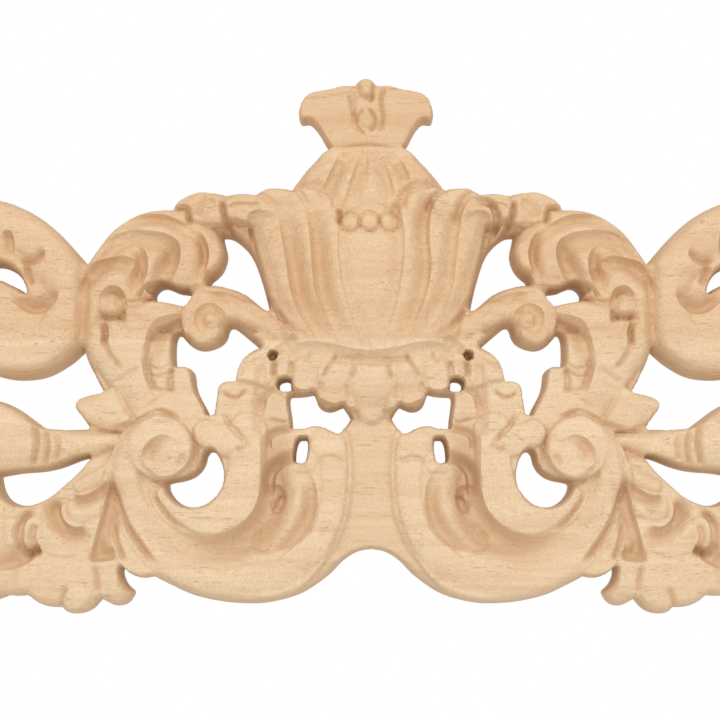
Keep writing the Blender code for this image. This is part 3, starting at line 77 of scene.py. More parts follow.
# Outline of the left half from the knob, down the left side, to the middle of the foot.
OUTLINE = [
    (0, 82.9), (-2, 82.3), (-3.4, 81, C),
    (-7.2, 81.1), (-11, 80.1), (-14.5, 79.5), (-17, 78.9), (-18.8, 77.5), (-19.8, 75.2),
    (-20.1, 72.9), (-19.7, 71.3, C), (-17.3, 71.5), (-15.3, 69.9), (-13.5, 67.2), (-12.1, 64.5),
    (-10.1, 61.4, C),
    (-14.5, 58.3), (-19, 53.8), (-23.2, 48.2, C),
    (-27.3, 48.8), (-31.2, 48.4), (-34.5, 46.7, C),
    (-38.8, 47.1), (-43.3, 46.4, C),
    (-47, 47.2), (-51, 47.3), (-55.2, 46), (-58, 43.8), (-59.6, 41.6, C),
    (-63, 41.5), (-67, 41), (-72, 38.9), (-77.4, 34.8), (-81.8, 28.9), (-85.1, 24, C),
    (-88.2, 27.5), (-94.2, 34.1), (-101.4, 39.9), (-110.2, 44), (-119, 45.4), (-128, 42.4),
    (-134.5, 35), (-137.3, 25.5), (-136.6, 16), (-133, 7.5), (-127, 0.5), (-119.5, -4.8),
    (-112, -7.8), (-105.5, -8.8), (-98.3, -7.9), (-92.2, -4.7), (-88, -1.2), (-85.8, 1, C),
    (-84.2, -4), (-81.7, -9.6), (-79, -14.4, C),
    (-81.5, -14.8), (-84.6, -15.5), (-87.2, -16.8), (-87.7, -18.6, C), (-85.2, -22), (-82.7, -25.4, C),
    (-87.5, -25.7), (-92.8, -25.8), (-97.8, -25.2), (-101.4, -22.9), (-105.5, -19.9), (-109.6, -17.7),
    (-115, -16.6), (-121, -18), (-127, -22), (-131.5, -27), (-134, -30.8, C),
    (-128, -33.8), (-121, -36.2), (-115.5, -37.6, C),
    (-117.5, -42.5), (-122.5, -45.5), (-127.3, -49.5), (-129.3, -55.3), (-127.4, -60.6), (-123.5, -63, C),
    (-126.3, -68.5), (-124.6, -73.5), (-118.5, -76.4), (-112.3, -75.6), (-107.6, -74, C),
    (-104.5, -74.3), (-101.3, -74.2), (-98.5, -76.2), (-95.3, -77.4), (-91, -77.7, C),
    (-89.3, -79.2), (-86.4, -79.5), (-83.4, -78.4), (-81.4, -76.3), (-79.9, -74.7, C),
    (-77.6, -76.2), (-74.9, -77.2), (-72.5, -76.3), (-71, -74, C),
    (-73, -72.2), (-74.4, -69.4), (-74.6, -67), (-74, -65, C),
    (-72.9, -66.3), (-71.2, -67.7), (-69.3, -68.6), (-67.2, -68.9), (-64.4, -68.4, C),
    (-59.4, -70.9), (-52.5, -74), (-44.2, -75.9), (-36.2, -76.5), (-29.5, -76), (-21.1, -73.5),
    (-13.5, -68.4), (-9, -63.9), (-4.5, -61.1), (0, -60.2),
]

# Openings of the left half, sawn right through.
OPENINGS = {
    "beside_urn": [
        (-45.6, 35.4, C), (-41.5, 34.9), (-37.3, 31.6), (-34.6, 27.4), (-32.1, 20.2), (-30.3, 13.2),
        (-29.7, 10.3, C), (-32.3, 10.8), (-37.6, 15.1), (-42.6, 17.4), (-46.6, 18.2), (-49.8, 18, C),
        (-48.9, 21), (-47.1, 22.5), (-45.2, 24.9), (-44.2, 28.6), (-44.9, 32.2),
    ],
    "under_arch": [
        (-54.1, 17.5, C), (-57.6, 17.9), (-59.7, 18.8), (-61.9, 19.5), (-64.1, 18.9), (-65.8, 16.8),
        (-65.6, 14.4), (-63.8, 13.3), (-60.5, 12.7), (-57.5, 12.1), (-55.6, 11.7, C), (-54.5, 13.2),
        (-53.6, 15.4),
    ],
    "below_arm": [
        (-59.6, -5.2), (-59.8, 0), (-59.4, 3.2), (-58.3, 4.8), (-57.1, 4.8), (-55.9, 3.5), (-54.3, 1.8),
        (-52.4, 0.6), (-50.2, 0.2), (-47.4, 0.9), (-45.3, 2.1), (-44.2, 3.7), (-43.7, 5.6), (-42.8, 6.9),
        (-41.2, 7.1), (-39.7, 6.2), (-37.3, 4.2), (-34.7, 2), (-31.9, -0.5, C),
        (-34.6, -1.4), (-36.8, -3), (-38.6, -5.2), (-39.7, -8), (-40.3, -11.6, C),
        (-42.2, -11.2), (-44.3, -11.6), (-45.3, -12.9), (-45.6, -15.2), (-46.1, -18.5), (-46.4, -21.3, C),
        (-49.3, -21.5, C), (-50, -19.4), (-51.4, -16.8), (-52.8, -14), (-53.5, -11.5), (-53.9, -8.4),
        (-54.7, -7.1), (-56.2, -6.8), (-58.7, -6.9, C),
    ],
    "beside_collar": [
        (-28.6, -11.4), (-27.5, -9.9), (-25.5, -9.4), (-23.7, -9.9, C), (-23.4, -13.8, C), (-25.6, -14.3),
        (-27.9, -13.7),
    ],
    "under_collar": [
        (-25.3, -15.8), (-24.6, -14.3), (-22, -14.1), (-19.2, -13.8), (-16.9, -13.2, C), (-16, -15.3),
        (-15.2, -17.4), (-13.7, -18.5), (-11.9, -18.6), (-10, -17.9), (-8.4, -17, C), (-7, -18.9),
        (-5.3, -21.7, C), (-7, -24.3), (-9.6, -27.4, C), (-12, -26.3), (-14.5, -25.1), (-16.5, -24.7),
        (-18.4, -24.9, C), (-19.8, -25.4), (-22.2, -25.5), (-24.4, -25.3, C), (-24.6, -22), (-25.1, -18.6),
    ],
    "slot": [
        (-23.5, -35.2, C), (-23.4, -32), (-22.8, -29), (-21.8, -27.4, C), (-18.7, -27.4, C),
        (-18.4, -29.6), (-18.6, -32.5), (-19.3, -35.4, C), (-21.3, -35.9),
    ],
    "in_scroll": [
        (-49.9, -32.7), (-48.4, -30.9), (-46.3, -31.4), (-44.8, -33.6), (-43.7, -36.8), (-43.4, -40),
        (-44.1, -43), (-45.9, -45.7), (-48.3, -47.8), (-51.2, -49), (-54.2, -49.2), (-56.9, -48.3),
        (-59.3, -46.4), (-61, -43.6), (-61.3, -41, C), (-59.3, -40.3), (-56.4, -39.8), (-53.6, -38.8),
        (-51.6, -37.1), (-50.4, -34.9),
    ],
    "in_side_scroll": [
        (-102.8, 15.8, C), (-103.3, 18.6), (-105, 21.8), (-108, 24.6), (-112, 26.1), (-116.5, 25.6),
        (-120.2, 22.9), (-122, 18.5, C), (-119, 20), (-115.5, 20.5), (-112, 19.9), (-109, 18.6),
        (-106.2, 17.2), (-104.2, 15.9),
    ],
    "under_husk": [
        (-82.3, -32.3, C), (-86.8, -33.3), (-92.8, -35.6), (-98, -36.8), (-105, -37.4),
        (-111.8, -38.6, C), (-110.8, -43.2), (-108.9, -46.4), (-106.2, -48.1), (-102.8, -48.7),
        (-98.4, -47.8), (-94.4, -45.6), (-90, -41.9), (-86.3, -38.4), (-83.6, -35),
    ],
}

# Bands laid over each other, lowest first: name, side, spine, half widths, heights, crown, soft edge.
# A band's height is its value at the middle, and its edges lie lower by the crown.
BOTH, LEFT, RIGHT = "both", "left", "right"
BANDS = [
    ("leaf bed", BOTH, [(-84, -42), (-98, -62), (-104, -70)], [10, 26, 28], [12, 12, 11.5], 0.5, 2),
    ("leaf end", BOTH, [(-118, -52), (-116, -66)], [14, 13], [13.5, 12.5], 3.5, 2),
    ("leaf lobe 3", BOTH, [(-80, -57), (-92, -57.5)], [6.5, 7.5], [14, 13.5], 3, 2),
    ("leaf lobe 2", BOTH, [(-77, -46), (-85, -49)], [5, 5.5], [14.5, 14.5], 3, 1.5),
    ("leaf lobe 1", BOTH, [(-76, -38), (-86, -42.5)], [3.5, 2.6], [15, 13.5], 2.5, 1.2),
    ("leaf foot left", BOTH, [(-92, -64), (-98, -70)], [8, 8], [12.8, 12.3], 1.2, 3),
    ("leaf foot middle", BOTH, [(-84, -63), (-86.5, -72)], [7, 6.5], [13, 12.6], 1.2, 3),
    ("leaf foot right", BOTH, [(-77, -66), (-75.5, -71)], [5, 5], [12.8, 12], 1.5, 2),
    ("leaf oval", BOTH, [(-99.5, -54), (-99.5, -59)], [3.4, 3.2], [13.5, 13.5], 2.5, 1),
    ("leaf bud", BOTH, [(-105.5, -55), (-105.5, -57.5)], [3.8, 3.6], [13.5, 13.5], 2.5, 1),
    ("side leaf", BOTH, [(-70, -18), (-79, -19.5), (-88, -18)], [9, 6.5, 3], [14, 13.8, 12], 3, 1),
    ("husk", BOTH, [(-76, -28.5), (-90, -31), (-103, -29.5), (-117, -27.5), (-134, -30.5)], [3, 6.2, 9, 11,
        4], [12, 15, 17.5, 17.5, 12], 6.5, 1),
    ("side scroll", BOTH, [(-111, 17)], [30], [13.5], 1, 1),
    ("side scroll rim", BOTH, [(-124, 36), (-110, 36), (-98, 29), (-91.5, 19), (-91.5, 8), (-97, -0.5),
        (-107, -2.5), (-118, 2)], [8, 8.5, 8.5, 7, 7, 7.8, 7.5, 6], [14.5, 15, 15.5, 16, 16, 15.5, 15,
        13.5], 4.8, 2),
    ("stalk", BOTH, [(-61, -21), (-66, -12), (-72, -2), (-76, 8)], [10, 10, 11.5, 10], [13, 15, 16.5, 16.5],
        5.5, 1.5),
    ("arch", BOTH, [(-80.5, 0), (-79.5, 12), (-75, 22), (-66, 27.8), (-57, 28), (-49.5, 25)], [8, 9, 13,
        14.5, 14, 8.5], [15, 16.5, 17.5, 17.5, 17, 15], 7, 1),
    ("web under arch", BOTH, [(-65.6, 17), (-62.4, 18.4)], [1.8, 1.5], [11.5, 11], 0, 1),
    ("hood", BOTH, [(-70, 8), (-62, 9.5), (-56, 10)], [6, 4.5, 2.5], [16.5, 15.5, 14], 2.5, 1.5),
    ("stalk finger", BOTH, [(-62, 0), (-63, -7), (-62.5, -13)], [5, 4.4, 3.6], [12.5, 14.5, 14], 2, 1.2),
    ("stalk block", BOTH, [(-56.5, -8.5), (-55.5, -14)], [3.2, 4.5], [13.5, 13], 1, 0.8),
    ("shield", BOTH, [(0, -24), (0, -62)], [11, 16], [11.2, 10.5], 0, 3),
    ("inner leaf", BOTH, [(-33, -1), (-35.5, -12), (-39, -24), (-44, -31)], [6, 9, 12, 9], [13.5, 15, 15.5,
        14.5], 3, 1.5),
    ("lobe a", BOTH, [(-43, -13.5), (-39.5, -14)], [2.8, 2.4], [14.5, 14.8], 1.2, 0.8),
    ("inner petals", BOTH, [(-27.5, -14), (-26.5, -22), (-26, -30), (-26, -36)], [4.2, 4.5, 5.5, 6.5], [14,
        14.5, 14.2, 13.5], 1.8, 1),
    ("scroll bed", BOTH, [(-44, -46)], [36], [13.2], 0, 1),
    ("scroll band", BOTH, [(-12, -30), (-11, -42), (-13, -53), (-19.5, -61.5), (-30, -67), (-43, -68.8),
        (-55, -66), (-65, -58.5), (-71, -48), (-72.3, -37), (-69.5, -28), (-63.5, -22.5)], [7.5, 6.5, 6.5,
        7.5, 8, 8, 8, 7.5, 6, 5, 4, 3], [14.5, 14.8, 15, 14.8, 14.5, 14.5, 14.5, 15, 15.5, 16, 16.5, 17],
        (5, 1.2), 2.5),
    ("scroll curl leaf", BOTH, [(-21, -38), (-20.5, -46), (-24, -54), (-32, -59)], [7, 6, 6.5, 4], [14.5,
        14.3, 13.5, 11.5], 1.6, 1.5),
    ("scroll inner band", BOTH, [(-36.5, -26), (-37.2, -38), (-40, -47.5), (-47.5, -52.8), (-55, -50.5),
        (-61, -45)], [6, 5.6, 6.2, 4.8, 3.6, 2.6], [15.5, 15, 15, 15, 15, 15], 1.2, 0.8),
    ("scroll volute", BOTH, [(-61.9, -31.2)], [9.9], [18], 1.6, 1),
    ("volute lobe", BOTH, [(-48.8, -26.8), (-43, -29)], [4.4, 5.2], [16.2, 15.8], 2.2, 0.8),
    ("collar", BOTH, [(-26, -3), (-20, -6), (-11, -8), (0, -10)], [6, 8.5, 10.5, 11.5], [14.5, 16.5, 17.5,
        18], 2.5, 1),
    ("collar outer petal", BOTH, [(-26, -5), (-26.4, -8)], [3, 2.8], [15.6, 14.5], 1.2, 1.2),
    ("collar petal", BOTH, [(-19.2, -6), (-19.6, -10.5)], [4.6, 4], [16.6, 15], 1.2, 1.5),
    ("collar near petal", BOTH, [(-11, -8), (-11.6, -14.5)], [5, 4.2], [17.6, 15], 1.4, 1.5),
    ("collar front petal", BOTH, [(0, -8), (0, -14), (0, -20)], [7.4, 6.4, 4.4], [18.2, 16.6, 13.5], 1.8,
        1.5),
    ("arm", BOTH, [(-14, 3.5), (-25, 5.5), (-34, 9.5), (-42, 12.3), (-49, 13)], [4, 5, 5.4, 5.6, 5.4], [15,
        14.5, 15, 16, 16.5], 4, 1),
    ("arm volute", BOTH, [(-48.6, 7.6)], [8.6], [17], 3, 1),
    ("finial", BOTH, [(0, 58), (0, 66), (0, 72), (0, 78), (0, 86)], [12, 17, 24, 27, 30], [9.8, 9, 9, 8.8,
        8.2], 1.5, 0.5),
    ("lid", BOTH, [(0, 40), (0, 52), (0, 61)], [27, 20, 10.5], [19, 17.5, 12.8], 6.5, 0.8),
    ("knob", BOTH, [(0, 81.4), (0, 79.2)], [3, 2.2], [11, 11.2], 2.5, 0.8),
    ("urn", BOTH, [(0, -3.5), (0, 8), (0, 18), (0, 30), (0, 40)], [19, 28, 33, 36, 44], [19, 21, 22, 21.5,
        19.5], 8.5, 1.5),
    ("rim lobe d", BOTH, [(-56, 41.5), (-51, 41.8), (-46, 41)], [3.5, 5.5, 5], [15.5, 17, 16.5], 3.5, 0.8),
    ("rim lobe c", BOTH, [(-40, 41.5), (-35, 41)], [4.6, 5.4], [17.5, 18], 3, 1.2),
    ("rim lobe b", BOTH, [(-29.5, 43), (-25.5, 42)], [5, 5.4], [18.5, 19.2], 2.8, 1.2),
    ("rim lobe a", BOTH, [(-20, 43.5), (-15, 42)], [4.4, 4.6], [19.3, 20.2], 2.2, 1.2),
]

# Bands that end square; the others have round ends.
SQUARE_ENDS = ("urn", "lid", "finial", "shield")

# Bands that have grown into the wood under them; the others lie on it.
GROWN = ("arch", "arm", "rim lobe a", "rim lobe b", "rim lobe c", "rim lobe d")

# Scoops: name, side, line, depth, radius of the steep part, reach. The wood is left high on the right hand
# of the line and is cut away on its left hand, steeply at first and then running out.
SCOOPS = [
    ("arch finger end", BOTH, [(-60.6, 21.6), (-61.4, 19.6), (-62.9, 18.4), (-65.3, 17.8), (-68.4, 18.3)],
        0.5, 1.2, 3.5),
    ("arch tip end", BOTH, [(-50, 20.2), (-54, 17.7), (-57.5, 17.3), (-59.3, 18.7), (-60.6, 21.2)], 0.4,
        1.2, 3.5),
    ("arch first finger end", BOTH, [(-66.7, 18.2), (-67.8, 16), (-69, 14.1), (-70.7, 13.5), (-72.7, 14.2)],
        1.4, 1.2, 4),
    ("stalk finger edge", BOTH, [(-67.4, -3), (-67.8, -5.6), (-67.5, -8.7), (-66.5, -11.7), (-64.6, -15)],
        1.6, 1, 3),
    ("leaf lobe 1 edge", BOTH, [(-78.3, -40.3), (-80.5, -43), (-84.5, -45.1), (-88.2, -44.7)], 3.4, 1.6, 5),
    ("leaf lobe 2 edge", BOTH, [(-83.5, -53.8), (-87, -54.5), (-89.9, -52.8), (-91.2, -50), (-90.8, -46.4)],
        4.2, 1.8, 6.5),
    ("leaf lobe 3 edge", BOTH, [(-96, -62.6), (-97.4, -60.3), (-98.4, -57), (-97.2, -53.8)], 2, 1.3, 3),
    ("leaf oval edge", BOTH, [(-98.8, -62.2), (-101.7, -60), (-102.2, -56), (-101, -53), (-98.4, -51.2)],
        2.6, 1.5, 3.5),
    ("leaf fold", BOTH, [(-111, -67.8), (-105, -67.2), (-100.8, -65.5), (-97, -62.4)], 3, 2, 7),
    ("leaf strip", BOTH, [(-77.4, -41), (-78.7, -48), (-80.7, -56), (-83, -65)], 3.8, 1.6, 7.5),
    ("leaf strip end", BOTH, [(-83, -65.3), (-79, -65), (-75, -64.6)], 2.6, 1.2, 5),
    ("side pocket", BOTH, [(-108.4, 14.5), (-105.6, 11.8), (-102.3, 9.5), (-98.3, 9.2), (-94.8, 11),
        (-92.9, 14), (-92.7, 17.5)], 3.4, 1.8, 6.5),
    ("side lobe", BOTH, [(-106.2, 25.6), (-102.7, 23.9), (-99.3, 24.2), (-97, 26.6), (-97.2, 29.4)], 2.8,
        1.2, 4),
    ("side hollow", BOTH, [(-106.4, 26.9), (-106.3, 31.4), (-107.6, 34.6), (-110.5, 34.4)], 2.8, 1.4, 5),
    ("collar top", BOTH, [(-28.6, -4.9), (-27.7, -3.7), (-25.9, -1.8), (-23.9, -0.3), (-20.8, 1.3)], 1.6,
        1.2, 3),
    ("arm edge", BOTH, [(-26, 6.8), (-32, 10.3), (-38, 13.6), (-44, 15.7), (-50, 15.4)], 1.4, 1.4, 4),
    ("lobe c top", BOTH, [(-32, 42.4), (-35.3, 42.7), (-38.9, 42.9), (-41.6, 42.2), (-42.6, 39.8)], 1, 0.8,
        2.5),
    ("petal arc", BOTH, [(-31.4, -20), (-31, -16.6), (-29.5, -14.8), (-27, -13.8)], 1.8, 1, 3),
    ("petal low arc", BOTH, [(-29.2, -32.2), (-29.7, -29), (-28.5, -27.5), (-26.2, -26.9), (-22.6, -26.3)],
        1.8, 1.2, 3),
    ("lobe edge", BOTH, [(-45.6, -20.6), (-43.7, -23.3), (-42.2, -25.7), (-40.4, -27.5), (-38.7, -29.3),
        (-37.7, -30.8), (-38.3, -32)], 1.2, 0.8, 2.5),
    ("arch ring 1 low", BOTH, [(-69.2, 24), (-70.5, 25.4), (-71.7, 26.1), (-74.4, 26.6), (-77.1, 26.5),
        (-79.5, 26), (-81.8, 25.1), (-83.9, 23.4), (-85.6, 20.9)], [1.4, 3.1, 3.6, 3.6, 3.6, 3.4, 3.1, 2.9,
        2.4], 2.4, 6.5),
    ("arch ring 1", BOTH, [(-67.4, 18.5), (-66.4, 20.9), (-66, 23.7), (-66.2, 26.2), (-67.1, 28.1),
        (-68.6, 29.3), (-70.7, 30.1), (-73.1, 30.7), (-75.5, 30.6), (-77.9, 29.6), (-80.2, 27.8),
        (-82.3, 25.6)], [2, 4.5, 4.8, 4.5, 3.8, 2.5, 1.2, 0.8, 0.8, 0.8, 0.8, 0.5], 2.6, 5.5),
    ("arch ring 2", BOTH, [(-58.8, 19.8), (-57.7, 22.2), (-56.8, 24.4), (-56.4, 26.9), (-56.6, 29.4),
        (-57.5, 31.2), (-59.3, 32.5), (-61.4, 33.4), (-63.5, 33.9), (-65.9, 34.2), (-68.9, 34.5),
        (-71.6, 34.5), (-74.2, 34.1), (-76.3, 33.1), (-78.4, 31.6), (-80.1, 29.4), (-81.9, 26.6),
        (-83.3, 23.8)], [2.6, 5.2, 6, 6, 5.5, 4.4, 3.6, 3.1, 2.9, 2.9, 3.1, 3.4, 3.4, 3.4, 3.1, 2.6, 2.1,
        1.3], 3.4, 7.5),
    ("arch ring 3", BOTH, [(-49.3, 21.6), (-48.4, 24.7), (-48.1, 27.5), (-48.6, 30.3), (-49.5, 32.5),
        (-51, 34.3), (-53.1, 35.6)], [1.8, 3.9, 4.2, 3.9, 2.9, 1.3, 0], 1.8, 4.2),
    ("arch ring 4", BOTH, [(-53.6, 35.5), (-55.7, 36.9), (-57.8, 38), (-60.2, 39.1), (-62.4, 39.6),
        (-64.8, 39.7), (-67.8, 39.6), (-70.8, 38.8), (-73.8, 37.4), (-76.8, 35.2)], [1, 1.9, 2.4, 2.6, 2.9,
        2.9, 2.9, 2.6, 2.2, 1.4], 1.8, 5),
    ("arch eye", BOTH, [(-72.4, 12.2), (-72.8, 14.3), (-73.7, 16.2), (-75.2, 17.2), (-77.3, 17.4),
        (-79, 16.5), (-80.2, 14.9), (-81, 12.5), (-81.1, 9.7), (-80.6, 6.6), (-79.6, 3.6), (-78.7, 0.8),
        (-78, -1)], [0.8, 2.4, 3, 3, 2.7, 2.2, 1.7, 1, 0.9, 0.9, 0.8, 0.4, 0], 1.8, 4.2),
    ("sliver", BOTH, [(-78.3, -1), (-77.6, 1.4), (-77.6, 3.9), (-78.3, 6.2), (-79.6, 7.4)], [0.5, 2.6, 3,
        2.6, 1], 1.4, 2.6),
    ("hood edge", BOTH, [(-55, 9.5), (-58.3, 9.2), (-61.2, 8.5), (-63.6, 7.5), (-65.3, 5.6), (-66.5, 3.2),
        (-67.1, 0.4), (-67.8, -2.3), (-68.1, -5.1), (-67.7, -7.8), (-66.8, -10.9), (-65.5, -13.9)], [0.8,
        1.7, 2.2, 2.3, 2.3, 2.1, 1.6, 1.2, 1, 1, 0.9, 0.4], 2.8, 7),
    ("flute 4", BOTH, [(-31.3, 40.1), (-34, 40.2), (-36, 39.4), (-36.7, 37.6), (-36.6, 34.1), (-35.6, 30.1),
        (-34.1, 25.5), (-32.3, 20.2), (-30.5, 15), (-28.2, 10.1), (-25.8, 6.4)], [0.5, 1.9, 2.5, 2.3, 1.7,
        1.4, 1.3, 1.3, 1.3, 1.3, 0.8], 2, 5.5),
    ("flute 3", LEFT, [(-30, 43), (-28.2, 40.2), (-27.2, 37.2), (-26.6, 33.5), (-26, 29), (-25.1, 24),
        (-24.5, 19), (-23.7, 14.7), (-22.2, 10.4), (-20.2, 6.5), (-17.8, 2.8), (-16, 0.1)], [0.2, 1, 1.8,
        2.4, 3, 3.6, 3.8, 3.8, 3.4, 2.8, 2, 0.8], 2.6, 7.5),
    ("flute 2", LEFT, [(-20.1, 42.9), (-19.2, 40.6), (-18.6, 37.2), (-18.1, 33), (-17.7, 29), (-17.6, 25),
        (-17.3, 21.2), (-17, 17.3), (-16.1, 13.6), (-14.5, 9.3), (-12.8, 5.3), (-10.7, 2), (-8.7, -1)],
        [0.2, 1, 2, 2.6, 3.2, 3.6, 3.6, 3.6, 3.2, 2.8, 2.2, 1.6, 0.6], 2.4, 7.2),
    ("flute 3", RIGHT, [(-27.7, 35.7), (-27, 32.6), (-26.6, 28.9), (-25.9, 24.6), (-25.4, 20),
        (-24.4, 15.3), (-22.5, 10.8), (-20.1, 6.5), (-17.6, 2.8)], [1.8, 2.4, 2.1, 2.1, 2.1, 2.1, 1.8, 1.5,
        0.9], 2.2, 6),
    ("flute 2", RIGHT, [(-19.3, 41.1), (-18.6, 38.6), (-18.1, 34.8), (-18, 30.5), (-18.3, 25.9),
        (-18.2, 21.2), (-17.5, 16.9), (-16.2, 12.7), (-14.6, 8.4), (-13.1, 4.4), (-11.5, 0.5)], [2.4, 3.2,
        3.2, 2.8, 2.6, 2.6, 2.4, 2.2, 2, 1.6, 0.8], 1.8, 6.5),
    ("panel crease", LEFT, [(-9.2, 38.7), (-9.5, 34.1), (-9.7, 28.8), (-9.5, 23.6), (-8.8, 18.1),
        (-7.7, 13.2), (-6.2, 8.6), (-4.5, 3.7), (-2.5, -2)], [1, 0.9, 0.9, 0.9, 0.9, 0.9, 0.9, 0.9, 0.7],
        0.9, 5),
    ("panel crease", RIGHT, [(-9.8, 38.4), (-10.3, 34.1), (-10.5, 28.8), (-10.1, 23.6), (-9.4, 18.7),
        (-8.4, 13.8), (-7.2, 9.2), (-5.9, 5.2), (-4.7, 0.4)], [1.2, 1.3, 1.4, 1.4, 1.4, 1.3, 1.2, 1, 0.6],
        1.6, 5.5),
    ("rim pocket", RIGHT, [(-36.3, 34.1), (-37.3, 36.9), (-36.9, 39.7), (-35.3, 41.5), (-32.5, 41.3),
        (-30.1, 40.4), (-28.5, 38.2)], [2, 3.8, 3.8, 2.8, 1, 0.8, 0.6], 1.6, 3.2),
    ("lid rib", LEFT, [(-2.9, 57.7), (-3.8, 54.8), (-4.8, 51.7), (-5.9, 48.5), (-6.9, 45), (-7.9, 41.6)],
        [0.9, 1.3, 1.6, 1.8, 1.6, 1], 2.4, 6.5),
    ("lid rib", RIGHT, [(-4.7, 57.4), (-6.1, 53.6), (-7.1, 50.1), (-8, 46.3), (-9.1, 42.5)], [0.9, 1.3, 1.6,
        1.8, 1.6, 1], 2.4, 6.5),
    ("lid outer rib", LEFT, [(-9.1, 57.7), (-10.3, 55.3), (-11.8, 52.1), (-13, 49.3), (-14.5, 47.1)], [0.9,
        1.5, 1.9, 2, 1.4], 2.4, 6.5),
    ("lid outer rib", RIGHT, [(-9.9, 57.2), (-11.3, 54.7), (-12.5, 51.8), (-13, 49)], [0.9, 1.5, 1.9, 2,
        1.4], 2.4, 6.5),
    ("lobe a edge", LEFT, [(-21.9, 46.7), (-19.5, 47.3), (-16.8, 47.3), (-14.4, 46.7), (-12.3, 45.4),
        (-10.8, 43.2), (-9.7, 40.7), (-9.1, 38.5)], [0.6, 1.1, 1.3, 1.3, 1, 0.7, 0.9, 0.7], 1.2, 3.5),
    ("lobe a edge", RIGHT, [(-21.1, 47.1), (-18.6, 47.3), (-15.9, 47.3), (-13.5, 46.5), (-11.7, 44.8),
        (-10.6, 42.6), (-9.6, 40.4), (-9.1, 38.5)], [0.9, 1.4, 1.5, 1.7, 1.7, 1.7, 1.7, 0.9], 1.2, 3.5),
    ("lobe b edge", RIGHT, [(-23.1, 45.1), (-21.6, 44.1), (-20.3, 42.6), (-19.4, 40.7)], [1.8, 2.2, 2.4,
        2.2], 1.2, 3),
    ("lobe c edge", RIGHT, [(-34.5, 44.6), (-32, 44.1), (-30.1, 42.7), (-28.7, 40.4), (-27.8, 37.5)], [0.8,
        1.8, 2.2, 2.2, 1.2], 1.4, 3.5),
    ("lobe b edge", LEFT, [(-23.1, 45.7), (-22, 44.8), (-20.8, 42.9), (-19.6, 41)], [1.6, 1.6, 1.2, 0.4],
        1.2, 3),
    ("lobe c edge", LEFT, [(-34.6, 45.1), (-32.8, 43.8), (-30.5, 41.9), (-28.1, 39.7)], [1, 1.2, 1, 0.4],
        1.2, 3),
    ("urn foot", BOTH, [(8, -2.3), (4, -2.5), (0, -2.5), (-4.7, -1.9), (-8.4, -1.2), (-12.1, -0.3),
        (-15.2, 0.3), (-18.2, 0.5), (-20.7, 0.2), (-23.1, -0.6), (-25.8, -1.8), (-27.8, -3.2)], [2.2, 2.2,
        2.2, 2.2, 2.2, 2.2, 2.2, 2, 1.9, 1.5, 1.2, 0.7], 2.6, 6),
    ("scroll inner ring", BOTH, [(-33, -12.6), (-33.2, -17.2), (-33.3, -21.7), (-33.2, -26.2), (-33, -30.7),
        (-32.8, -35.2), (-32.9, -39.7), (-33.1, -43.5), (-33.8, -46.8), (-34.9, -49.5), (-36.7, -51.8),
        (-38.9, -53.9), (-41.8, -55.6), (-45.3, -56.7), (-48.4, -57.1), (-51.9, -56.8), (-55.7, -55.8),
        (-59.2, -53.9), (-62.1, -51.2), (-64.2, -48), (-65.2, -44.7), (-65.3, -41.5)], [0.8, 1.2, 1.6, 2.2,
        3, 3.8, 4.6, 5.2, 5.6, 5.8, 5.6, 5.2, 4.8, 4.2, 3.6, 3, 2.6, 2.2, 2, 1.8, 1.6, 0.8], 4, 13),
    ("scroll inner lip", BOTH, [(-53.4, -55.8), (-56.3, -53.6), (-58.7, -51.2), (-60.8, -48.6),
        (-62.4, -45.9), (-63.8, -42.9)], [0.3, 1.1, 1.3, 1.3, 1.1, 0.4], 0.9, 2),
    ("scroll outer ring", BOTH, [(-28.4, -65.3), (-25.3, -62.8), (-22.4, -60.3), (-19.8, -57.5),
        (-17.8, -54.5), (-16.5, -51.4), (-15.9, -47.9), (-16, -44.3), (-16.9, -41.1), (-18.4, -38.1)], [0.2,
        1.6, 2.2, 2.8, 3.4, 3.6, 3.4, 2.6, 1.8, 0.8], 2.2, 6.5),
    ("curl leaf edge", BOTH, [(-28.6, -42.3), (-28.5, -40.2), (-27.8, -38.5), (-26.3, -37.1),
        (-24.3, -36.2), (-21.9, -35.9)], [2.6, 3.8, 4, 3.6, 2.6, 1.2], 2, 5),
    ("comma", BOTH, [(-30, -49.1), (-29.1, -50.7), (-27.1, -50.6), (-25.7, -48.9), (-25, -46.3),
        (-25.6, -43.7), (-27.2, -42.1), (-29.2, -41.8)], [1, 2.4, 3, 3, 3, 2.6, 2.2, 1], 1.4, 3.4),
    ("urn and arm", BOTH, [(-30.6, 12.7), (-29.4, 10.3), (-27.9, 8), (-26.2, 5.7), (-24.1, 3.6),
        (-21.4, 1.9)], [1, 2.6, 3.2, 2.4, 1.4, 0.6], 0.8, 2.6),
]

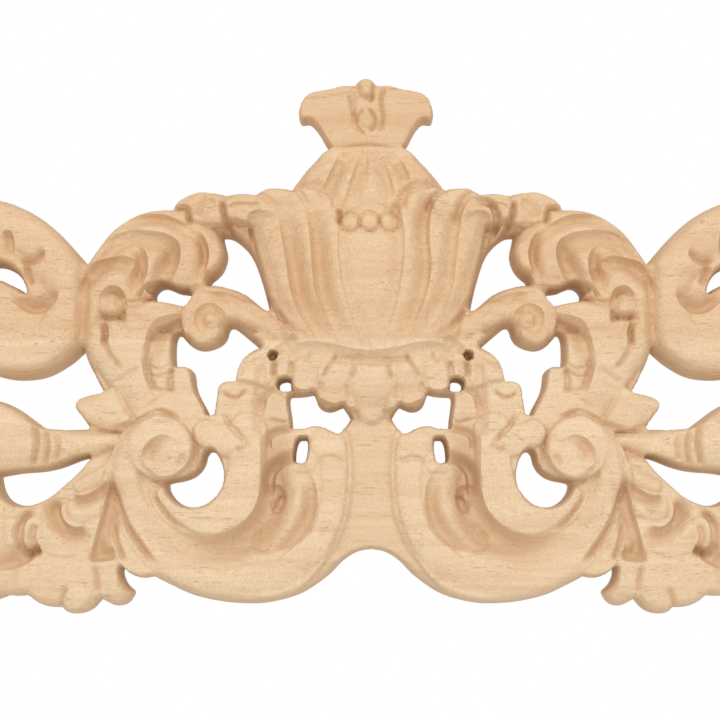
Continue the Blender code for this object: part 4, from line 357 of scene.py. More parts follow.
# Grooves: name, side, line, half width, depth.
GROOVES = [
    ("arch slit", BOTH, [(-66.9, 18.2), (-68.2, 16.1), (-69.3, 14)], 0.6, 2.2),
    ("side and arch", BOTH, [(-85.4, 27), (-85.6, 16), (-85.6, 8), (-86.2, -2.5)], 1.8, 2),
    ("valley", BOTH, [(-31.8, -3.6), (-32.6, -8), (-33.1, -13), (-33.6, -18.3), (-33.3, -24.4),
        (-32.6, -30.4)], 1.4, 2),
    ("lobe a fold", BOTH, [(-45.2, -13.4), (-42.4, -15.6), (-40, -15.9), (-38.6, -15), (-36.6, -13)], 0.6,
        1.4),
    ("leaf rim", BOTH, [(-40.2, -10.8), (-38.1, -7.2), (-35.5, -5.4), (-32, -4)], 0.6, 0.8),
    ("petal fold", BOTH, [(-31.2, -21.9), (-28.5, -22.7), (-26.5, -23.3), (-24.6, -23)], 0.5, 1),
    ("lobe pit", BOTH, [(-40.2, -31.1), (-38.9, -31.7), (-37.8, -31)], 0.6, 1.2),
    ("lobe crest", BOTH, [(-51.8, -27), (-49.5, -24.4), (-46.6, -23.9), (-43.2, -24.4)], 0.5, 0.6),
    ("curl lip", BOTH, [(-15.8, -37.6), (-15.2, -34.7), (-12.6, -33.8), (-9.6, -34.6), (-6.9, -36.2)], 0.6,
        0.9),
    ("curl leaf lip", BOTH, [(-15.9, -37.9), (-18.3, -38.8), (-21, -38.9), (-24.2, -38.3)], 0.6, 0.7),
    ("collar outer crease", BOTH, [(-23.6, -4.4), (-23.9, -9), (-23.8, -14.4)], 0.8, 2),
    ("leaf crease low", BOTH, [(-91.2, -80), (-91, -77), (-90.2, -74.5), (-88.8, -72)], 0.7, 1.4),
    ("leaf crease inner", BOTH, [(-80.2, -75), (-80.6, -70), (-81.4, -66)], 0.7, 1.2),
    ("leaf blade", BOTH, [(-75.9, -53), (-75.2, -57.5), (-73.9, -61.4), (-72.2, -65.6)], 0.8, 2),
    ("leaf pit", BOTH, [(-101.3, -62.8), (-98.8, -61.7), (-97, -60.9)], 1.1, 3),
    ("side crease", BOTH, [(-103.3, 24.3), (-102.2, 21), (-100.8, 17.8)], 1, 2.2),
    ("husk ring 1", BOTH, [(-99.6, -23.5), (-98.2, -30), (-100.2, -38.4)], 0.8, 2.2),
    ("husk ring 2", BOTH, [(-96.2, -25.5), (-95, -31), (-96.4, -37.4)], 0.7, 1.8),
    ("husk ring 3", BOTH, [(-92.9, -26.5), (-92, -31), (-93, -35.8)], 0.7, 1.4),
    ("finger fold 1", BOTH, [(-66.4, -6.2), (-63.1, -7.4), (-61, -6.8), (-58.9, -5.4)], 0.5, 0.8),
    ("finger fold 2", BOTH, [(-66.6, -8.8), (-63.6, -9.7), (-61, -9), (-58.9, -7.8)], 0.5, 0.8),
    ("finger fold 3", BOTH, [(-66, -12.8), (-62.4, -13.8), (-58.8, -13.5)], 0.5, 0.8),
    ("block crease", BOTH, [(-59, -6.4), (-59.9, -10.9), (-59.3, -15)], 0.8, 1.8),
    ("tongue fold", BOTH, [(-76.4, -11.6), (-72.5, -9.8), (-68.4, -7.2)], 0.8, 1),
    ("volute ring", BOTH, [(-67.1, -31.6), (-67.6, -33.7), (-67.4, -36.1), (-66.1, -38.3), (-64.2, -40.1),
        (-61.5, -41.3), (-58.6, -41.6), (-55.8, -41), (-53.6, -39.2), (-52.4, -36.7), (-52, -33.4),
        (-52.3, -30.2), (-53.3, -26.9), (-54.9, -24.2)], 0.9, 1.5),
    ("volute top", BOTH, [(-77.8, -26.3), (-75.5, -25.5), (-72.6, -24.6), (-69.7, -23.6), (-67.1, -22.2),
        (-65.1, -21.3), (-62.8, -20.5), (-60.4, -21), (-58.3, -22.2), (-56.8, -24.2)], 0.9, 1.7),
    ("volute pit", BOTH, [(-55.5, -33.1), (-55.7, -35.2), (-57, -36.9)], 0.9, 1.3),
    ("arm volute ring", BOTH, [(-55, 4.4), (-54, 1.9), (-52.4, 0.1), (-49.9, -0.8), (-46.9, -0.4),
        (-45.2, 1.2), (-44.2, 3.3)], 0.6, 1.4),
    ("arm volute slot", BOTH, [(-49, 5.9), (-47.8, 5.8), (-46.3, 5.9)], 0.4, 0.5),
    ("arch pocket", BOTH, [(-80.8, 8.2), (-78.8, 8), (-76.4, 8), (-74.3, 8), (-72.8, 7.7)], 1, 2.8),
    ("arch pocket side", BOTH, [(-73.4, 10.5), (-73.3, 8.4), (-73.4, 6.1)], 0.5, 1.6),
    ("arch notch", BOTH, [(-60.2, 41.3), (-57.5, 41.3), (-55.1, 41.2), (-54.4, 40.1), (-54.1, 38.2),
        (-53.2, 35.7)], 0.8, 2.8),
    ("rim d crease", BOTH, [(-44.5, 44.1), (-43.9, 41.9), (-43.6, 39.7), (-43.1, 37.5), (-42.2, 35.3),
        (-40.7, 33.4)], 0.8, 3),
    ("rim d hollow", BOTH, [(-51.3, 37.1), (-50.1, 40.1), (-48.3, 42.3), (-46.2, 44.2)], 2, 2),
    ("crease pocket", LEFT, [(-9.4, 40.4), (-9.1, 38.9), (-9, 37.3), (-9.2, 35.1)], 0.8, 2.6),
    ("collar fold 1", BOTH, [(-10.5, -2.7), (-10.9, -4.6), (-12.4, -6.7), (-13.7, -8.8), (-14.8, -11.2)],
        0.6, 1.3),
    ("collar fold 2", BOTH, [(-5, -5.3), (-5.3, -8), (-6.3, -11.6)], 0.6, 1.1),
    ("collar fold 3", BOTH, [(-18.3, -2.2), (-19.1, -4.7), (-20.5, -6)], 0.6, 1.1),
    ("collar crease 1", BOTH, [(-15.2, -11.4), (-15.4, -13.3), (-15.7, -15.4)], 0.8, 1.6),
    ("collar crease 2", BOTH, [(-7.2, -12.4), (-7.5, -14.8), (-7.4, -17.2)], 0.8, 1.6),
    ("collar line", BOTH, [(-28, -3.2), (-25.9, -1.8), (-23.9, -0.5), (-21.5, 1.2)], 0.6, 1.4),
    ("pit tail", BOTH, [(-28.9, -5), (-29.1, -7.1), (-29.2, -10.2)], 0.8, 1.8),
    ("comma leaf", BOTH, [(-25.7, -44.9), (-27.2, -46.2), (-28.3, -48), (-29.2, -50.2)], 0.6, 1.2),
    ("foot crease", BOTH, [(-10.2, -24.5), (-8.4, -26.9), (-7.3, -30.2), (-6.8, -34.4), (-6.8, -39.5),
        (-7.1, -44.6), (-7.8, -49.9), (-9.3, -55.2), (-11.6, -60.2), (-14.5, -64.3), (-17.7, -67.3)], 0.5,
        1),
    ("leaf and scroll", BOTH, [(-77, -37.9), (-76.5, -41.5), (-75.2, -45.9), (-73.3, -50.7), (-70.9, -55.4),
        (-68, -59.8), (-65, -63.7), (-62.1, -66.9)], 0.9, 2.6),
    ("tongue crease", BOTH, [(-80.2, 3.7), (-78.7, 0), (-77.4, -3), (-75.6, -5.7), (-73.2, -8.4)], 0.7, 1.6),
    ("neck", BOTH, [(6, 61.9), (0, 62.1), (-3.4, 61.9), (-6.4, 61.3), (-8.8, 60.7)], 0.6, 0.8),
    ("neck flange", BOTH, [(5, 58.6), (0, 58.7), (-5.2, 58.4), (-8.9, 57.8)], 0.7, 0.6),
    ("ogee", LEFT, [(-5.5, 80.5), (-4.1, 78.6), (-3.5, 76), (-3.7, 73.4), (-4.3, 70.5), (-3.6, 67.6),
        (-2.1, 66)], 0.5, 0.7),
    ("ogee", RIGHT, [(-6.5, 81.2), (-5.1, 78.9), (-4.7, 75.7), (-5.2, 72.4), (-4.9, 68.9), (-3.1, 65.8)],
        0.6, 1.3),
    ("tear", LEFT, [(-0.3, 74.5), (-1.4, 72.8), (-3, 70.8), (-2.8, 68.1), (-1.2, 66.3), (-0.1, 66)], 0.5, 1),
    ("tear", RIGHT, [(-0.3, 74.5), (-1.7, 72.8), (-2.8, 70.3), (-2.1, 67.9), (-0.1, 66.2)], 0.5, 1.2),
    ("knob stem", LEFT, [(-2.4, 80.8), (-1.2, 79.2), (-0.3, 77.3)], 0.5, 0.6),
    ("knob stem", RIGHT, [(-1.8, 81.5), (-2, 79.2), (-1.9, 77), (-0.7, 75.8)], 0.5, 1.2),
]

# Volutes: name, ridge line of the spiral, depth, radius of the steep part, reach. The wood is high outside.
VOLUTES = [
    ("arm volute", [(-42.7, 2.3), (-42.6, 6.3), (-43.4, 9.3), (-45.1, 11.1), (-47.3, 12.2), (-49.7, 11.8),
        (-51.5, 10.6), (-52.5, 8.6), (-52.4, 6.2), (-51.6, 3.9), (-49.9, 2.8), (-48.2, 3.1)], [0.4, 1.1,
        1.5, 1.7, 1.5, 1.8, 2.2, 2.2, 1.8, 1.3, 1.3, 0.6], 1.8, 4.4),
    ("scroll volute", [(-58.3, -28.4), (-60.1, -27.6), (-61.8, -27.5), (-64.1, -28.4), (-65.8, -29.9),
        (-67, -31.9), (-67.2, -34.3), (-66.3, -36.4), (-64.8, -37.6), (-62.8, -38.2)], [0.6, 1.6, 2, 2.8,
        3.2, 3, 2.2, 1.6, 1.2, 0.4], 1.9, 6),
]

# Bosses: name, centre, radius, rise.
BOSSES = [
    ("bead", (0, 36.2), 2.8, 1.5),
    ("bead", (-5.9, 36.1), 2.8, 1.5),
    ("tear", (0, 69.4), 1.6, 0.4),
    ("arch eye pad", (-77, 11.6), 3.6, 1),
    ("arm volute eye", (-47, 7), 2.6, 0.9),
]

# Drilled pits: centre, radius, depth.
PITS = [((-29.4, -3.2), 1.3, 6.5)]

# Rolled edges: name, line that they lie along, reach each side of it, radius, and share of the height left at
# the border.
ROLLS = [
    ("side scroll", [(-85.8, 24), (-90, 30), (-101, 40), (-110, 44), (-119, 45.4), (-128, 42.4),
        (-134.5, 35), (-137.3, 25.5), (-136.6, 16), (-133, 7.5), (-127, 0.5), (-119.5, -4.8), (-112, -7.8),
        (-105.5, -8.8), (-98.3, -7.9), (-92.2, -4.7), (-88, -1)], 6, 3.2, 0.5),
    ("side opening", [(-103, 16), (-105, 21.8), (-112, 26), (-120, 22.9)], 4, 2, 0.35),
    ("arch top", [(-83.5, 26), (-81.8, 28.9), (-77.4, 34.8), (-72, 38.9), (-67, 41), (-61, 41.5)], 3, 3,
        0.4),
    ("arch end", [(-49, 20), (-47.1, 22.5), (-45.2, 24.9), (-44.2, 28.6), (-44.9, 32.2)], 3, 2, 0.55),
    ("arm volute", [(-58.3, 4.8), (-57.1, 4.8), (-55.9, 3.5), (-52.4, 0.6), (-50.2, 0.2), (-47.4, 0.9),
        (-45.3, 2.1), (-43.7, 5.6)], 3, 1.4, 0.6),
    ("arm", [(-42, 6.9), (-39.7, 6.2), (-37.3, 4.2), (-34.7, 2), (-32.5, 0)], 2.5, 2.4, 0.35),
    ("arm top", [(-31.5, 11), (-37.6, 15.1), (-42.6, 17.4), (-48, 18.2)], 2.5, 2.4, 0.4),
    ("rim under side", [(-45.6, 35.4), (-41.5, 34.9), (-37.3, 32.4)], 3, 2.4, 0.35),
    ("urn side", [(-34.6, 27.6), (-32.1, 20.2), (-30.3, 13.2)], 3, 2.6, 0.35),
    ("rim", [(-59.6, 41.6), (-58, 43.8), (-51, 47.3), (-43.3, 46.4), (-34.5, 46.7), (-27.3, 48.8),
        (-24.5, 48.5)], 3, 2.6, 0.4),
    ("lid", [(-22, 50), (-19, 53.8), (-14.5, 58.3), (-11.5, 60.4)], 3, 3.2, 0.4),
    ("finial", [(-11, 62.8), (-13.6, 67.4), (-16, 70.8), (-20.2, 71), (-20.6, 73), (-18.9, 78.2),
        (-13, 79.9), (-3.6, 82), (0, 84.7)], 4, 1.1, 0.5),
    ("leaf feet", [(-125, -70), (-118.5, -76.4), (-107.6, -74), (-98.5, -76.2), (-91, -77.7),
        (-86.4, -79.5), (-79.9, -74.7), (-74.9, -77.2), (-71, -74)], 2.5, 2.4, 0.45),
    ("scroll under side", [(-59.4, -70.9), (-52.5, -74), (-44.2, -75.9), (-29.5, -76), (-21.1, -73.5),
        (-13.5, -68.4)], 2.5, 2.5, 0.35),
]

# The wood: two boards glued edge to edge, the upper one tanner.
GLUE_LINE = 1.2
GLUE_WIDTH = 0.15
BOARD_OFFSET = (0.37, 0.0053, 0.021)
LOWER_BOARD = (0.77, 0.58, 0.38, 1.0)
LOWER_LATE = (0.63, 0.41, 0.23, 1.0)
UPPER_BOARD = (0.73, 0.52, 0.32, 1.0)
UPPER_LATE = (0.61, 0.36, 0.19, 1.0)
PORE_COLOUR = (0.36, 0.19, 0.09, 1.0)
SAWN_COLOUR = (0.60, 0.39, 0.22, 1.0)
SANDED_ROUGHNESS = 0.58
SAWN_ROUGHNESS = 0.8
WOOD_SPECULAR = 0.3

# The growth rings: turns to the metre into and up the boards, how they waver, and the share of late wood.
RINGS_DEEP = 420.0
RINGS_UP = 110.0
RINGS_WAVER = 2.4
RINGS_FRAY = 0.25
LATE_POWER = 5.0
LATE_SHARE = 0.2

# The grain: clouds to the metre along X, Y and Z, how much fine detail, and how rough it is. Then how much
# each one darkens the wood, and between which levels of its noise a pore shows.
CLOUD = ((9.0, 60.0, 34.0), 2.0, 0.5)
FIBRE = ((45.0, 900.0, 900.0), 3.0, 0.6)
STREAK = ((14.0, 160.0, 260.0), 3.0, 0.55)
PORE = ((230.0, 2500.0, 2500.0), 1.0, 0.4)
PORE_PATCH = ((30.0, 160.0, 200.0), 2.0, 0.5)
GRIT = ((1500.0, 1500.0, 1500.0), 2.0, 0.6)
SAW_MARK = ((1500.0, 60.0, 1500.0), 2.0, 0.6)
MIDDLE = 0.5
STREAK_SHARE = 1.4
STREAK_BASE = 0.07
FIBRE_SHARE = 1.3
GRIT_SHARE = 1.8
GRAIN_BASE = 0.24
PORE_LEVELS = (0.61, 0.72)
PATCH_LEVELS = (0.42, 0.6)
PORE_SHARE = 0.4
SAWN_SHARE = 0.2

# How far the grain stands out, in metres.
SAW_RISE = 0.00012
SAWN_FIBRE_RISE = 0.00004
FIBRE_RISE = 0.00003
GRIT_RISE = 0.00003
PORE_DEPTH = 0.00006

# Painted shade: cuts and low ground are painted darker and browner, as shade that falls in them. These are
# the heights above the back and the depths of the cuts, in millimetres, between which the painted shade
# deepens.
PAINTED_SHADE_COLOUR = (0.56, 0.34, 0.18, 1.0)
LOW_SHADE_FROM = 13.5
LOW_SHADE_BELOW = 9.5
LOW_SHADE_SHARE = 0.2
CUT_SHADE_FROM = 0.3
CUT_SHADE_FULL = 3.5
CUT_SHADE_SHARE = 0.26

# Finer grooves that only this mesh has room for: name, side, line, half width, depth.
GROOVES += [
    ("finial line", LEFT, [(-5.2, 79), (-4.6, 76.4), (-4.3, 73.9), (-3.5, 71.4), (-2.9, 68.5)], 0.6, 1.3),
    ("lid hollow", LEFT, [(-7.7, 57), (-9.3, 53.8), (-10.9, 50.6), (-12.3, 47.8)], 1.7, 1.2),
    ("lid hollow", LEFT, [(-1.6, 57), (-3.2, 52.6), (-5, 48.5), (-6.8, 43.9)], 1.7, 0.9),
    ("lid hollow", RIGHT, [(-3.3, 56.4), (-5.3, 52), (-6.7, 48.3), (-7.9, 44)], 1.7, 1.1),
    ("lid hollow", RIGHT, [(-8.6, 56), (-10.6, 52.7), (-11.6, 49.4)], 1.5, 0.9),
    ("leaf line", BOTH, [(-96.8, -61.8), (-93.2, -63.4), (-89.1, -63.7), (-85.1, -62.2)], 0.5, 0.5),
]

# The studio and the camera, in metres.
FLOOR_LEVEL = -0.2
FLOOR_SIZE = 0.8
FLOOR_COLOUR = (0.86, 0.86, 0.85, 1.0)
FLOOR_ROUGHNESS = 0.9
WHITE = (1.0, 1.0, 1.0, 1.0)
ROOM_LIGHT = 0.8
LAMP_SIZE = 0.4
LAMPS = [("high lamp", (-0.1, -0.9, 0.75), 3.15), ("front lamp", (0.15, -1.2, 0.05), 2.5)]
VIEW_AIM = (-0.0018, -0.014, -0.0048)
VIEW_RISE = math.radians(7.0)
VIEW_DISTANCE = 0.54
VIEW_WIDTH = 0.216
NEAREST_SEEN = 0.01

# Curves through the points of a stroke, and how the values along it blend.
CURVE_STEPS = 6
CONTOUR_STEPS = 8
CIRCLE_STEPS = 24
SMALL = 1e-9
BLENDING = 8
NEAREST = 0.1

# The shapes of the strokes: shares, slopes and reaches in millimetres or half widths.
WALL_CURVE = 0.75
LEAN = 0.8
RUN_OUT = 0.2
RUN_OUT_STEPS = 17
ROUNDNESS = 0.98
GROOVE_REACH = 1.8
PIT_SLOPE = 0.4
BOSS_RING = 1.1
BOSS_RING_WIDTH = 0.15
BOSS_RING_DEPTH = 0.5
ROLL_BLEND = 4.0
ROLL_CURVE = 0.55

# How the mesh is laid out.
BORDER_MARKS = 0.25
CLEARANCE = 0.62
SHARP_ANGLE = math.radians(40)
ROW_STEP = math.sqrt(0.75)


def step(value, low, high):
    """0 below low, 1 above high, and a smooth rise between."""
    t = np.clip((value - low) / (high - low), 0.0, 1.0)
    return t * t * (3.0 - 2.0 * t)


def drift(x, z):
    """How far the carver's hand has moved a point of the plan to the right."""
    upper = np.clip((z - DRIFT_LOW) / DRIFT_SPAN, 0.0, 1.0)
    return DRIFT * (1.0 - upper ** 2) * np.exp(-(x / DRIFT_REACH) ** 2)


def spline(points, steps=CURVE_STEPS):
    """Open smooth curve through the points, as an array of places along it."""
    p = np.array(points, float)
    if len(p) == 1:
        return np.vstack([p, p + SMALL])
    ends = np.vstack([2 * p[0] - p[1], p, 2 * p[-1] - p[-2]])
    curve = []
    for a, b, c, d in zip(ends, ends[1:], ends[2:], ends[3:]):
        for t in np.arange(steps) / steps:
            curve.append(0.5 * (2 * b + (c - a) * t + (2 * a - 5 * b + 4 * c - d) * t * t
                                + (3 * b - a - 3 * c + d) * t ** 3))
    return np.array(curve + [p[-1]])


def spaced(curve, spacing):
    """The curve again, at even spacing, with both ends kept."""
    gaps = np.hypot(*np.diff(curve, axis=0).T)
    run = np.concatenate([[0], np.cumsum(gaps)])
    count = max(1, round(run[-1] / spacing))
    places = np.linspace(0, run[-1], count + 1)
    return np.column_stack([np.interp(places, run, curve[:, k]) for k in (0, 1)])


def contour(points, spacing, closed):
    """A smooth line with its marked corners kept sharp, at even spacing. A closed one starts at a corner."""
    corners = [k for k, p in enumerate(points) if len(p) == 3]
    places = [p[:2] for p in points]
    if closed:
        first = corners[0] if corners else 0
        places = places[first:] + places[:first] + [places[first]]
        corners = [(k - first) % len(points) for k in corners]
    stops = sorted({0, *corners, len(places) - 1})
    runs = [spaced(spline(places[a:b + 1], CONTOUR_STEPS), spacing) for a, b in zip(stops, stops[1:])]
    line = np.vstack([run[:-1] for run in runs] + [runs[-1][-1:]])
    return line[:-1] if closed else line


def along(x, z, line, *lists):
    """For each point: distance to the line, side, and the value of each list near the point.

    The side is 1 on the left hand and -1 on the right hand, with a smooth turn round both ends. The numbers
    of a list are spread evenly along the line.
    """
    lists = [spline(list(enumerate(numbers)))[:, 1] for numbers in lists]
    best = np.full(x.shape, np.inf)
    side = np.ones(x.shape)
    totals = [np.zeros(x.shape) for _ in lists]
    weight = np.zeros(x.shape)
    for k, (a, b) in enumerate(zip(line, line[1:])):
        ux, uz = b - a
        length = math.hypot(ux, uz) + SMALL
        t = np.clip(((x - a[0]) * ux + (z - a[1]) * uz) / length ** 2, 0.0, 1.0)
        dx = x - a[0] - t * ux
        dz = z - a[1] - t * uz
        distance = np.hypot(dx, dz) + SMALL
        nearer = distance < best
        best = np.where(nearer, distance, best)
        side = np.where(nearer, (ux * dz - uz * dx) / (length * distance), side)
        pull = (NEAREST / distance) ** BLENDING
        weight += pull
        for total, numbers in zip(totals, lists):
            total += pull * np.interp((k + t) / (len(line) - 1), np.linspace(0, 1, len(numbers)), numbers)
    return best, side, *(total / weight for total in totals)


def between_ends(x, z, line, soft):
    """1 between the square ends of a band and 0 past them."""
    first = (line[1] - line[0]) / np.hypot(*(line[1] - line[0]))
    last = (line[-1] - line[-2]) / np.hypot(*(line[-1] - line[-2]))
    start = (x - line[0][0]) * first[0] + (z - line[0][1]) * first[1]
    end = (line[-1][0] - x) * last[0] + (line[-1][1] - z) * last[1]
    return step(start, -soft, 0.0) * step(end, -soft, 0.0)


def near(x, z, line, margin):
    """The points inside the line's own box and a margin round it."""
    low = line.min(axis=0) - margin
    high = line.max(axis=0) + margin
    return (x > low[0]) & (x < high[0]) & (z > low[1]) & (z < high[1])


def run_out(depth):
    """A list of depths that run out at both ends of a line; a list that is given is kept."""
    if isinstance(depth, list):
        return depth
    share = np.linspace(0.0, 1.0, RUN_OUT_STEPS)
    return depth * step(share, 0.0, RUN_OUT) * step(1.0 - share, 0.0, RUN_OUT)


def lay_band(h, x, z, line, widths, heights, crown, soft, square, grown):
    """Lay a band with a rounded back over the wood, with round or square ends.

    A crown of two numbers is the one on the left hand of the spine and the one on the right. A band that has
    grown into the wood under it leaves the wood that is higher as it is.
    """
    part = near(x, z, line, max(widths) + soft)
    distance, side, width, middle = along(x[part], z[part], line, widths, heights)
    across = np.clip(distance / width, 0.0, 1.0)
    if isinstance(crown, tuple):
        crown = crown[1] + (crown[0] - crown[1]) * step(side, -LEAN, LEAN)
    back = middle - crown * (1.0 - np.sqrt(1.0 - ROUNDNESS * across ** 2))
    if grown:
        back = 0.5 * (back + h[part] + np.hypot(back - h[part], soft))
    cover = step(width - distance, 0.0, soft)
    if square:
        cover *= between_ends(x[part], z[part], line, soft)
    h[part] = h[part] * (1.0 - cover) + back * cover


def cut_scoop(h, x, z, line, depth, radius, reach):
    """Cut a scoop on the left hand of the line, steep at the line and running out at its reach."""
    part = near(x, z, line, reach)
    distance, side, deep = along(x[part], z[part], line, run_out(depth))
    steep = (1.0 - (1.0 - np.clip(distance / radius, 0.0, 1.0)) ** 2) ** WALL_CURVE
    h[part] -= deep * steep * (1.0 - step(distance, radius, reach)) * step(side, 0.0, LEAN)


def cut_groove(h, x, z, line, half_width, depth):
    """Cut a groove that is round at the bottom and runs out at both ends."""
    part = near(x, z, line, GROOVE_REACH * half_width)
    distance, _, deep = along(x[part], z[part], line, run_out(depth))
    h[part] -= deep * (1.0 - step(distance, 0.0, GROOVE_REACH * half_width))


def half_relief(x, z, side):
    """Height of the relief on the left half's plan, with this side's strokes, and the depth of the cuts."""
    h = np.full(x.shape, GROUND)
    for name, where, spine, widths, heights, crown, soft in BANDS:
        if where in (BOTH, side):
            lay_band(h, x, z, spline(spine), widths, heights, crown, soft, name in SQUARE_ENDS, name in GROWN)
    laid = h.copy()
    for _, line, depth, steep, reach in VOLUTES:
        cut_scoop(h, x, z, spline(line), depth, steep, reach)
    for _, where, line, depth, radius, reach in SCOOPS:
        if where in (BOTH, side):
            cut_scoop(h, x, z, spline(line), depth, radius, reach)
    for _, where, line, half_width, depth in GROOVES:
        if where in (BOTH, side):
            cut_groove(h, x, z, spline(line), half_width, depth)
    for _, centre, radius, rise in BOSSES:
        distance = np.hypot(x - centre[0], z - centre[1]) / radius
        h += rise * np.sqrt(np.clip(1.0 - distance ** 2, 0.0, 1.0))
        h -= BOSS_RING_DEPTH * rise * np.exp(-((distance - BOSS_RING) / BOSS_RING_WIDTH) ** 2)
    for centre, radius, depth in PITS:
        h -= depth * step(radius - np.hypot(x - centre[0], z - centre[1]), -PIT_SLOPE, PIT_SLOPE)
    return h, laid - h


def relief(x, z):
    """Height in millimetres above the flat back, and depth of the cuts, at points of the straight plan."""
    h = np.zeros(x.shape)
    cut = np.zeros(x.shape)
    for side, chosen in ((LEFT, x <= 0), (RIGHT, x > 0)):
        h[chosen], cut[chosen] = half_relief(-np.abs(x[chosen]), z[chosen], side)
    return h, cut


def mirrored(line):
    """The line on the other half, run the other way round."""
    return (line * (-1, 1))[::-1]


def rings(spacing):
    """The outline and the openings of both halves, as closed rings of places at even spacing."""
    left = contour(OUTLINE, spacing, closed=False)
    openings = [contour(points, spacing, closed=True) for points in OPENINGS.values()]
    return [np.vstack([left, mirrored(left)[1:-1]])] + openings + [mirrored(ring) for ring in openings]


def on_wood(points, borders):
    """Which of the points lie inside the outline and outside the openings."""
    x, z = points.T
    odd = np.zeros(len(points), bool)
    for ring in borders:
        for a, b in zip(ring, np.roll(ring, -1, axis=0)):
            level = (a[1] > z) != (b[1] > z)
            odd ^= level & (x < a[0] + (b[0] - a[0]) * (z - a[1]) / (b[1] - a[1] + SMALL))
    return odd


def apart(points, marks):
    """Distance of each point from the nearest mark."""
    tree = KDTree(len(marks))
    for k, (x, z) in enumerate(marks):
        tree.insert((x, z, 0), k)
    tree.balance()
    return np.array([tree.find((x, z, 0))[2] for x, z in points])


def rolled(h, x, z, inside):
    """The height again, rolled down towards the border, from how far inside the border each point is."""
    x = -np.abs(x)
    radius = np.full(x.shape, ROLL)
    share = np.full(x.shape, ROLL_SHARE)
    for _, line, reach, wide, low in ROLLS:
        there = 1.0 - step(along(x, z, spline(line))[0], reach, reach + ROLL_BLEND)
        radius += (wide - radius) * there
        share += (low - share) * there
    part = np.clip(inside / radius, 0.0, 1.0)
    rise = (1.0 - (1.0 - part) ** 2) ** ROLL_CURVE
    return h * (share + (1.0 - share) * rise)


def heights(places, borders):
    """Height of the wood, and depth of the cuts, at each place. The borders' own points come first."""
    x, z = places.T
    marks = np.vstack([spaced(np.vstack([ring, ring[:1]]), BORDER_MARKS) for ring in borders])
    inside = apart(places, marks)
    inside[:sum(len(ring) for ring in borders)] = 0.0
    h, cut = relief(x, z)
    return rolled(h, x, z, inside), cut


def thinned(groups, clearance):
    """The points of the groups in turn, leaving out each one that is too close to one already kept."""
    cells = {}
    kept = []
    for points, checked in groups:
        for x, z in points:
            column, row = math.floor(x / clearance), math.floor(z / clearance)
            around = [p for i in (-1, 0, 1) for j in (-1, 0, 1) for p in cells.get((column + i, row + j), ())]
            if checked and any((x - a) ** 2 + (z - b) ** 2 < clearance ** 2 for a, b in around):
                continue
            cells.setdefault((column, row), []).append((x, z))
            kept.append((x, z))
    return np.array(kept)


def on_halves(strokes):
    """The strokes' lines, on the halves that have them."""
    lines = [spline(line) for _, where, line, *_ in strokes if where in (BOTH, LEFT)]
    return lines + [mirrored(spline(line)) for _, where, line, *_ in strokes if where in (BOTH, RIGHT)]


def circle(centre, radius):
    """A closed circle as a line."""
    turns = np.linspace(0.0, 2.0 * math.pi, CIRCLE_STEPS + 1)
    return np.column_stack([centre[0] + radius * np.cos(turns), centre[1] + radius * np.sin(turns)])


def crest_lines():
    """The lines where the relief turns sharply: the edges of the scoops, volutes, bosses and pits."""
    rounds = [circle(centre, radius) for _, centre, radius, _ in BOSSES] + [circle(*pit[:2]) for pit in PITS]
    return (on_halves(SCOOPS + [(name, BOTH, line) for name, line, *_ in VOLUTES])
            + rounds + [mirrored(line) for line in rounds])


def grid(low, high, spacing):
    """Places in rows between two corners, every other row shifted by half a step."""
    rows = np.arange(low[1], high[1], spacing * ROW_STEP)
    starts = low[0] + 0.5 * spacing * (np.arange(len(rows)) % 2)
    return np.array([(x, z) for start, z in zip(starts, rows) for x in np.arange(start, high[0], spacing)])


def triangulated(points, borders):
    """Triangles over the wood between the points. The borders' own points come first."""
    edges = []
    first = 0
    for ring in borders:
        count = len(ring)
        edges += [(first + k, first + (k + 1) % count) for k in range(count)]
        first += count
    places, _, faces, _, _, _ = delaunay_2d_cdt([Vector(p) for p in points], edges, [], 0, SMALL)
    places = np.array([tuple(p) for p in places])
    faces = np.array(faces)
    return places, faces[on_wood(places[faces].mean(axis=1), borders)]


def leaning(borders, lean):
    """The borders moved out into the air by the lean, or into the wood where it is below 0."""
    moved = []
    for k, ring in enumerate(borders):
        fine = spaced(np.vstack([ring, ring[:1]]), LEAN_SPACING)[:-1]
        ahead = np.roll(fine, -1, axis=0) - np.roll(fine, 1, axis=0)
        ahead /= np.hypot(*ahead.T)[:, None]
        turn = np.sum(fine[:, 0] * np.roll(fine[:, 1], -1) - fine[:, 1] * np.roll(fine[:, 0], -1))
        outward = ahead[:, ::-1] * (1.0, -1.0) * math.copysign(lean, turn if k == 0 else -turn)
        place = fine + outward
        place = place[apart(place, fine) > CLEAR_OF_WALL * lean]
        moved.append(spaced(np.vstack([place, place[:1]]), EDGE_SPACING)[:-1])
    return moved


def carving_points(borders):
    """Places for the front's points: on the borders and the strokes' lines, close together near both, and
    wider apart on plain wood."""
    border = np.vstack(borders)
    rims = leaning(borders, -LEAN_OF_WALLS) + leaning(borders, -ROLL)
    lines = crest_lines() + on_halves(GROOVES)
    strokes = np.vstack(rims + [spaced(line, CREASE_SPACING) for line in lines])
    strokes = strokes[on_wood(strokes, borders)]
    low, high = border.min(axis=0), border.max(axis=0)
    busy = np.vstack([border, strokes])
    close = grid(low, high, DETAIL_SPACING)
    wide = grid(low, high, PLAIN_SPACING)
    close = close[apart(close, busy) < DETAIL_REACH]
    wide = wide[apart(wide, busy) >= DETAIL_REACH]
    inner = np.vstack([close, wide])
    return thinned([(border, False), (strokes, True), (inner[on_wood(inner, borders)], True)],
                   DETAIL_SPACING * CLEARANCE)


